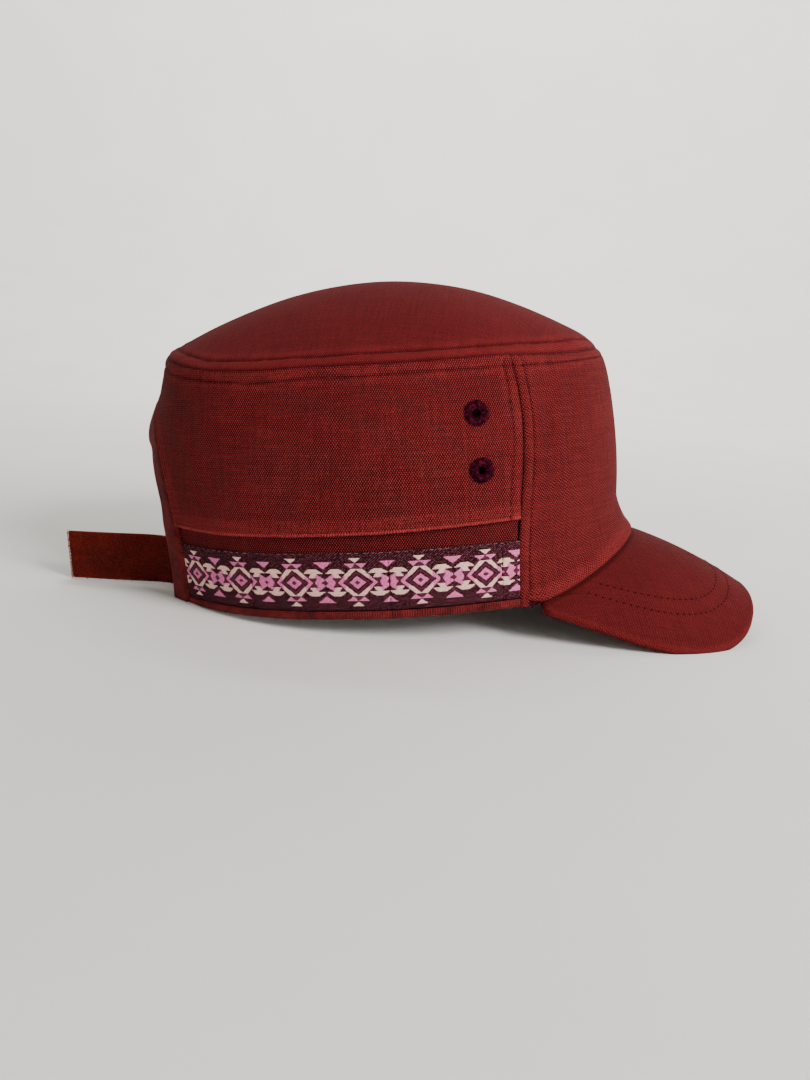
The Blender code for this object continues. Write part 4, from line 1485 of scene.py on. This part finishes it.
def plan_point(share):
    """Plan point of the line where the front panel meets the peak."""
    place = peak_root(share * ROOT_HALF_ANGLE)
    return Vector((place.x, place.y, 0))


PEAK_EDGE = tree_of([peak_edge(share) for share in even_steps(-1.0, 1.0, PEAK_EDGE_POINTS)])
ROOT_LINE = tree_of([plan_point(share) for share in even_steps(-1.0, 1.0, PEAK_EDGE_POINTS)])


def peak_place(x, y, under=False):
    """A point of the peak's top or underside and its relief."""
    inset = PEAK_EDGE.find(Vector((x, y, 0)))[2]
    rounded = PEAK_ROUND * (1 - math.sqrt(max(0.0, 1 - (1 - min(inset, PEAK_ROUND) / PEAK_ROUND) ** 2)))
    relief = follow(PEAK_RELIEF, inset)
    high = peak_height(x, y)
    if under:
        return Vector((x, y, high - PEAK_THICKNESS + rounded - max(relief, 0.0) * PEAK_UNDER_RELIEF)), relief
    soft = PEAK_SOFTNESS * softness(Vector((x, y, 0)))
    return Vector((x, y, high - rounded + min(relief, PEAK_RIM_RISE) + soft)), relief


def peak_spot(root, free, reach, under):
    """A point of the peak's mesh, between its root and its free edge."""
    spot = root.lerp(free, reach)
    place, relief = peak_place(spot.x, spot.y, under)
    beside = ROOT_LINE.find(Vector((spot.x, spot.y, 0)))[2]
    # painted shade: the cloth is darkened in a strip beside the root line, where the front panel meets the
    # peak
    relief -= ROOT_SHADE * (1 - smooth_step((beside - ROOT_SHADE_FROM) / ROOT_SHADE_OVER))
    drop = max(0.0, peak_height(spot.x, spot.y) - place.z)
    flat = spot + (free - root).normalized() * drop
    return place, tuple(flat.x * ahead + flat.y * aside for ahead, aside in PEAK_WEAVE), relief


def make_peak(finish):
    """The stiff peak: cloth over a curved board, with a rolled edge."""
    lines = []
    for share in even_steps(-1.0, 1.0, PEAK_COLUMNS):
        root = peak_root(share * ROOT_HALF_ANGLE)
        root = root - root.normalized() * ROOT_TUCK
        root.z = 0
        free = peak_edge(share)
        length = max((free - root).length, PEAK_LEAST)
        start = ROOT_STEPS[-1] / length
        plain = 1 - PEAK_INSETS[-1] / length - start
        reaches = [step / length for step in ROOT_STEPS]
        reaches += [start + plain * k / PEAK_PLAIN_ROWS for k in range(1, PEAK_PLAIN_ROWS)]
        reaches += [1 - inset / length for inset in reversed(PEAK_INSETS)]
        line = [peak_spot(root, free, reach, False) for reach in reaches]
        lines.append(line + [peak_spot(root, free, reach, True) for reach in reversed(reaches[:-1])])
    mesh = grid_mesh("peak", list(zip(*lines)))
    with opened(mesh) as work:
        bmesh.ops.remove_doubles(work, verts=work.verts, dist=2e-6)
        loose = [edge for edge in work.edges if len(edge.link_faces) == 1]
        bmesh.ops.holes_fill(work, edges=loose, sides=0)
        bmesh.ops.recalc_face_normals(work, faces=work.faces)
    place_piece(new_piece("peak_board", mesh, finish), "cloth", "peak")


def facing_off(angle, height, proud):
    """A point that stands proud of the crown's side, paired with the outward direction."""
    return off_wall(angle, height, proud), outward(angle, height)


def seated_column(side, angle, deeper):
    """Foot of a strap seated inside the band: places and outward normals, low, middle and high."""
    seat = -(CLOTH + BAND_SET_BACK + GAP + STRAP_THICKNESS / 2 + deeper)
    heights = (STRAP_LOW, STRAP_LOW + STRAP_WIDTH / 2, STRAP_LOW + STRAP_WIDTH)
    return [facing_off(side * angle, height, seat) for height in heights]


def strap_columns(side):
    """Columns of a strap: the right one runs free to the back, the left one follows the rim."""
    if side > 0:
        angles = even_steps(STRAP_SEAT_ANGLE, TAB_END_ANGLE, TAB_STEPS)
        return [seated_column(1, angle, STRAP_CLEAR * min(1.0, k / TAB_CLEAR_STEPS))
                for k, angle in enumerate(angles)]
    angles = even_steps(STRAP_SEAT_ANGLE, STRAP_LEAVE_ANGLE, SEAT_STEPS)
    columns = [seated_column(-1, angle, STRAP_CLEAR * k / SEAT_STEPS) for k, angle in enumerate(angles)]
    last = columns[-1]
    start = last[1][0]
    leans = [place - start for place, normal in last]
    heading = math.atan2(-last[1][1].x, last[1][1].y)
    for k in range(1, STRAP_STEPS + 1):
        share = k / STRAP_STEPS
        turn = smooth_step((share - STRAP_TURN_START) / STRAP_TURN_SHARE)
        course = heading + (STRAP_COURSE - heading) * turn
        ahead = Vector((math.cos(course), math.sin(course), 0))
        start = start + ahead * (STRAP_FREE_LENGTH / STRAP_STEPS)
        normal = Vector((ahead.y, -ahead.x, 0))
        risen = start + Vector((0, 0, STRAP_RISE * share ** 2))
        columns.append([(risen + lean.lerp(Vector((0, 0, lean.z)), turn), normal) for lean in leans])
    return columns


def strap_grid(columns, offset, inset=0.0):
    """Rows across a strap's width, set off its middle, and the strap's length."""
    lengths = [0.0]
    for before, after in zip(columns, columns[1:]):
        lengths.append(lengths[-1] + (after[1][0] - before[1][0]).length)
    rows = []
    for up in even_steps(inset, 2 - inset, STRAP_LEVELS):
        part = min(int(up), 1)
        row = []
        for column, length in zip(columns, lengths):
            (low, low_normal), (high, high_normal) = column[part], column[part + 1]
            normal = low_normal.lerp(high_normal, up - part)
            place = low.lerp(high, up - part) + normal * offset
            row.append((place, (length, up * STRAP_WIDTH / 2), 0.0))
        rows.append(row)
    return rows, lengths[-1]


def make_strap(label, side, finish, fray_finish, density, fibre, seed):
    """A strap: woven back, pile face, and a frayed cut end on the free one."""
    columns = strap_columns(side)
    rows, length = strap_grid(columns, STRAP_BACK_PROUD)
    name = "strap_" + label
    back = cloth_piece(name, "_tape", rows, finish, STRAP_TAPE, "pile", flip=side < 0)
    rows, length = strap_grid(columns, PILE_PROUD, inset=PILE_INSET)
    face = new_piece(name + "_pile", grid_mesh(name + "_pile", rows, flip=side < 0), finish)
    grow(face, PILE, Density=density, Length=fibre, Radius=0.00011, Lean=0.7, Seed=seed, Finish=finish)
    place_piece(face, "pile")
    if side < 0:
        low, middle, high = (place for place, normal in columns[-1])
        cut = [low.lerp(middle, up) for up in even_steps(0.0, 1.0, FRAY_STEPS)[:-1]]
        cut += [middle.lerp(high, up) for up in even_steps(0.0, 1.0, FRAY_STEPS)]
        line = [(place, Vector((-1, 0, 0.05))) for place in cut]
        sew(name + "_fray", [line, line], fray_finish, "pile", 9, pitch=0.00032, length=0.0016,
                          radius=0.00009, sink=-0.0002, lift=0.0007, turn=1.5, wander=0.9)


def wall_facing(angle, height, place):
    """A place paired with the wall's outward direction."""
    return place, outward(angle, height)


def on_crown(angle):
    """A stitch of the row above the top seam."""
    row = CROWN_ROW_DISTANCE + drift(dome_point(angle, CROWN_ROW_REACH)) * CROWN_ROW_DISTANCE / ROW_DISTANCE
    reach = reach_at(angle, row)
    place = crown_place(angle, reach)[0]
    return place, (crown_place(angle, reach, PROBE_LENGTH)[0] - place).normalized()


def below_crown(angle):
    """A stitch of the row below the top seam."""
    height = section("seam", angle) - ROW_DISTANCE
    height -= drift(wall(angle, height))
    spot = front_place if abs(angle) < front_seam(height) else side_place
    return wall_facing(angle, height, spot(angle, height)[0])


def top_rows():
    """Stitched rows on both sides of the top seam."""
    angles = even_steps(-180.0, 180.0, ROUND_STEPS)
    return [[stitch(angle) for angle in angles] for stitch in (on_crown, below_crown)]


def front_rows():
    """Stitched rows on both sides of each front seam."""
    lines = []
    for side in (-1, 1):
        behind, before = [], []
        top = section("seam", FRONT_SEAM_ANGLE) - ROW_DISTANCE
        for height in even_steps(FRONT_ROW_LOW, top, FRONT_ROW_STEPS):
            step = (ROW_DISTANCE + drift(wall(side * front_seam(height), height))) / SEAM_METRES
            angle = side * (front_seam(height) - step)
            before.append(wall_facing(angle, height, front_place(angle, height)[0]))
            if height > section("fold", FRONT_SEAM_ANGLE) + FRONT_ROW_ABOVE_FOLD:
                angle = side * (front_seam(height) + step)
                behind.append(wall_facing(angle, height, side_place(angle, height)[0]))
        lines += [behind, before]
    return lines


def edge_ticks():
    """Fine ticks over the folded edge of the side panels, along the fold and up the arch."""
    lines = []
    for side in (-1, 1):
        fold, arch = [], []
        for k in range(TICK_STEPS + 1):
            angle, height = side_edge(k / TICK_STEPS)[0]
            angle = side * max(angle, front_seam(height) + TICK_SEAM_CLEAR)
            height += TICK_DISTANCE
            fold.append(wall_facing(angle, height, side_place(angle, height)[0]))
            share = 1 + TICK_ARCH_SHARE * k / TICK_STEPS
            angle, height = side_edge(share)[0]
            before_angle, before_height = side_edge(share - PROBE_TICK)[0]
            along = wall(side * angle, height) - wall(side * before_angle, before_height)
            normal = outward(side * angle, height)
            inwards = normal.cross(along.normalized()) * side
            arch.append((side_place(side * angle, height)[0] + inwards * TICK_DISTANCE, normal))
        lines += [fold, arch]
    return lines


def ribbon_edge_rows(up, proud):
    """Stitched rows along one edge of both ribbons."""
    lines = []
    for side in (-1, 1):
        line = []
        for share in even_steps(*RIBBON_ROW_SHARES, RIBBON_ROW_STEPS):
            height = section("rim", band_angle(share, RIBBON_WIDTH / 2)) + HEM_HEIGHT + GAP + up
            angle = side * band_angle(share, height)
            line.append(facing_off(angle, height, proud))
        lines.append(line)
    return lines


def tack_rows():
    """Short rows straight across the ribbons."""
    lines = []
    beside = arc(BAND_ARC, 90.0)
    for side in (-1, 1):
        for tack in TACKS:
            angle = min(TACK_ANGLES, key=lambda angle: abs(beside - arc(BAND_ARC, angle) - tack / 1000))
            foot = section("rim", angle) + HEM_HEIGHT
            lines.append([facing_off(side * angle, height, RIBBON_FACE - TACK_SINK)
                          for height in even_steps(foot + TACK_FOOT, foot + RIBBON_WIDTH, TACK_STEPS)])
    return lines


def peak_rows():
    """The two stitched rows that follow the peak's free edge."""
    lines = []
    for inset in PEAK_ROWS:
        line = []
        for share in even_steps(-PEAK_ROW_SHARE, PEAK_ROW_SHARE, PEAK_ROW_STEPS):
            along = peak_edge(share + PROBE_SHARE) - peak_edge(share - PROBE_SHARE)
            spot = peak_edge(share) + Vector((-along.y, along.x, 0)).normalized() * inset
            angle = math.degrees(math.atan2(spot.y, spot.x))
            root = peak_root(max(-ROOT_HALF_ANGLE, min(ROOT_HALF_ANGLE, angle)))
            if math.hypot(spot.x, spot.y) > math.hypot(root.x, root.y) + PEAK_ROW_CLEAR:
                place = peak_place(spot.x, spot.y)[0]
                ahead = peak_place(spot.x + PROBE_LENGTH, spot.y)[0] - place
                aside = peak_place(spot.x, spot.y + PROBE_LENGTH)[0] - place
                line.append((place, ahead.cross(aside).normalized()))
        lines.append(line)
    return lines


def make_stitching(red, edge, pale, dark):
    """All the sewn rows of the cap."""
    sew("top_stitching", top_rows(), red, "cloth", 1)
    sew("front_stitching", front_rows(), red, "cloth", 2, length=0.0018, radius=0.00020)
    sew("edge_ticks", edge_ticks(), edge, "cloth", 3, pitch=0.00105, length=0.0011, radius=0.00013,
        sink=0.00022, lift=0.00020, turn=1.35, wander=0.25)
    sew("peak_stitching", peak_rows(), red, "cloth", 5, pitch=0.0028, length=0.0013, radius=0.00042,
        sink=0.00052, lift=0.00036, wander=0.25)
    top_edge = ribbon_edge_rows(RIBBON_WIDTH - 0.0004, RIBBON_FACE - 0.00015)
    low_edge = ribbon_edge_rows(0.0006, RIBBON_FACE - 0.0001)
    sew("ribbon_top_stitching", top_edge, pale, "ribbon", 6, pitch=0.0030, radius=0.00013, sink=0.00022)
    sew("ribbon_low_stitching", low_edge, dark, "ribbon", 7, pitch=0.0030, radius=0.00014, sink=0.00022)
    sew("tack_stitching", tack_rows(), dark, "ribbon", 8, pitch=0.0020, length=0.0015, radius=0.00022,
        sink=0.00022)


def make_stage():
    """A pale floor that sweeps up into the backdrop all round."""
    nodes = Nodes("studio paper")
    around = nodes.object_place()
    tone = nodes.noise(around, 6.0, 3.0)
    colour = nodes.mix(nodes.spread(tone, 0.3, 0.7), (0.84, 0.83, 0.805), (0.88, 0.87, 0.845))
    paper = nodes.finish(colour, 0.9, specular=0.2)
    bend, reach = 0.9, 1.6
    profile = [(radius, 0.0) for radius in (0.02, 0.4, 1.0, reach)]
    profile += [(reach + bend * math.sin(turn), bend - bend * math.cos(turn))
                for turn in (math.radians(step) for step in range(6, 91, 6))]
    profile += [(reach + bend, 1.8), (reach + bend, 3.0)]
    mesh = bpy.data.meshes.new("floor")
    sides = 96
    points = [Vector((0.0, 0.0, 0.0))]
    for radius, height in profile:
        for k in range(sides):
            turn = 2 * math.pi * k / sides
            points.append(Vector((radius * math.cos(turn), radius * math.sin(turn), height)))
    faces = [(0, 1 + k, 1 + (k + 1) % sides) for k in range(sides)]
    for i in range(len(profile) - 1):
        for k in range(sides):
            near, far = 1 + i * sides + k, 1 + i * sides + (k + 1) % sides
            faces.append((near, near + sides, far + sides, far))
    mesh.from_pydata(points, [], faces)
    new_piece("floor", mesh, paper)


def add_light(name, place, size, power, colour, target=(0.0, 0.0, 0.06)):
    """A soft area light that faces the cap."""
    data = bpy.data.lights.new(name, "AREA")
    data.shape = "DISK"
    data.size = size
    data.energy = power
    data.color = colour
    lamp = bpy.data.objects.new(name, data)
    lamp.location = place
    lamp.rotation_euler = (Vector(target) - Vector(place)).to_track_quat("-Z", "Y").to_euler()
    bpy.context.scene.collection.objects.link(lamp)


def light_studio():
    """Soft light from the right and front, with an even fill."""
    world = bpy.data.worlds.new("studio")
    world.use_nodes = True
    background = world.node_tree.nodes["Background"]
    background.inputs["Color"].default_value = (1.0, 0.985, 0.96, 1.0)
    background.inputs["Strength"].default_value = 0.10
    bpy.context.scene.world = world
    add_light("key", (1.07, -0.70, 0.80), 0.6, 29.0, (1.0, 0.975, 0.95))
    add_light("fill", (1.15, -0.75, 0.30), 0.8, 4.0, (0.98, 0.98, 1.0))
    add_light("backdrop wash", (0.0, 0.9, 1.9), 1.6, 66.0, (1.0, 0.99, 0.97), target=(0.0, 2.4, 0.9))


def add_camera():
    """The camera, turned with the cap as it tips to rest."""
    cosine, sine = math.cos(CAMERA_YAW), math.sin(CAMERA_YAW)
    level = math.cos(CAMERA_PITCH)
    ahead = Vector((-sine * level, cosine * level, -math.sin(CAMERA_PITCH)))
    right = Vector((cosine, sine, 0))
    above = right.cross(ahead)
    across = right * math.cos(CAMERA_ROLL) + above * math.sin(CAMERA_ROLL)
    above = above * math.cos(CAMERA_ROLL) - right * math.sin(CAMERA_ROLL)
    place = turned(CAMERA_PLACE) + Vector((REST_SHIFT, 0, REST_LIFT))
    columns = (turned(across), turned(above), -turned(ahead), place)
    data = bpy.data.cameras.new("camera")
    data.sensor_fit = "AUTO"
    data.sensor_width = 36
    data.lens = CAMERA_LENS
    data.clip_start = 0.01
    camera = bpy.data.objects.new("camera", data)
    camera.matrix_world = Matrix((*zip(*columns), (0, 0, 0, 1)))
    bpy.context.scene.collection.objects.link(camera)
    bpy.context.scene.camera = camera


add_camera()
STITCHES = stitch_tree()
PILE = pile_tree()
# One brick red cloth in four copies: their lightness and contrast differ as painted light and shade, each set
# to how its part meets the light; the crown copy is darker and flatter because the crown faces the light.
CLOTH_FINISH = woven_finish("brick red cloth", (0.305, 0.031, 0.032), (0.015, 0.0009, 0.0015), contrast=1.35)
FRONT_FINISH = woven_finish("brick red front cloth", (0.255, 0.0255, 0.0262), (0.016, 0.0009, 0.0015),
                            contrast=0.9, slant=0.33)
PEAK_FINISH = woven_finish("brick red peak cloth", (0.212, 0.0195, 0.0205), (0.024, 0.0014, 0.0020),
                           contrast=0.9, slant=0.26)
CROWN_CLOTH_FINISH = woven_finish("brushed brick red cloth", (0.240, 0.0215, 0.0230), (0.036, 0.0021, 0.0030),
                           contrast=0.7)
TAPE_FINISH = tape_finish()
RED_THREAD = thread_finish("dark red thread", (0.050, 0.0024, 0.0036), (0.016, 0.0008, 0.0012), specular=0.03)
# the edge ticks are real stitches, made pale as a painted highlight along the folded edges
EDGE_HIGHLIGHT_THREAD = thread_finish("worn edge thread", (0.420, 0.060, 0.055), (0.160, 0.014, 0.016))
PALE_THREAD = thread_finish("pale thread", (0.30, 0.14, 0.13), (0.10, 0.035, 0.04))
DARK_THREAD = thread_finish("dark plum thread", (0.035, 0.003, 0.008), (0.010, 0.0012, 0.003), specular=0.05)
# painted glints: this thread is mostly dark, with a few scattered light specks standing for highlights on the
# eyelets
EYELET_GLINT_THREAD = thread_finish("plum embroidery thread", (0.140, 0.0075, 0.0380), (0.018, 0.0008, 0.0038),
                              roughness=0.75, low=0.48, high=0.80, specular=0.03)
RIBBON_FINISHES = (
    ribbon_ground_finish(),
    satin_finish("cream yarn", (0.90, 0.62, 0.52), (0.56, 0.27, 0.24)),
    satin_finish("pink yarn", (0.76, 0.21, 0.42), (0.42, 0.065, 0.18)),
    satin_finish("plum yarn", (0.110, 0.006, 0.036), (0.045, 0.002, 0.013)),
)
PILE_FINISH = pile_finish("rust red pile", (0.190, 0.0105, 0.0060), (0.045, 0.0020, 0.0015))
FRAY_FINISH = thread_finish("frayed yarn", (0.62, 0.30, 0.27), (0.25, 0.06, 0.05))

make_crown_top(CROWN_CLOTH_FINISH)
make_front_panel(FRONT_FINISH)
make_peak(PEAK_FINISH)
make_binding(TAPE_FINISH)
for label, side in (("right", -1), ("left", 1)):
    make_side_panel(label, side, CLOTH_FINISH)
    make_band(label, side, CLOTH_FINISH)
    make_ribbon(label, side, RIBBON_FINISHES)
    make_hem(label, side, TAPE_FINISH)
    for level, height in EYELET_HEIGHTS.items():
        make_eyelet(label + "_" + level, side, height, EYELET_GLINT_THREAD)
make_strap("right", -1, PILE_FINISH, FRAY_FINISH, density=4.2e6, fibre=0.0010, seed=3)
make_strap("left", 1, PILE_FINISH, FRAY_FINISH, density=3.0e6, fibre=0.0006, seed=5)
make_stitching(RED_THREAD, EDGE_HIGHLIGHT_THREAD, PALE_THREAD, DARK_THREAD)
make_stage()
light_studio()
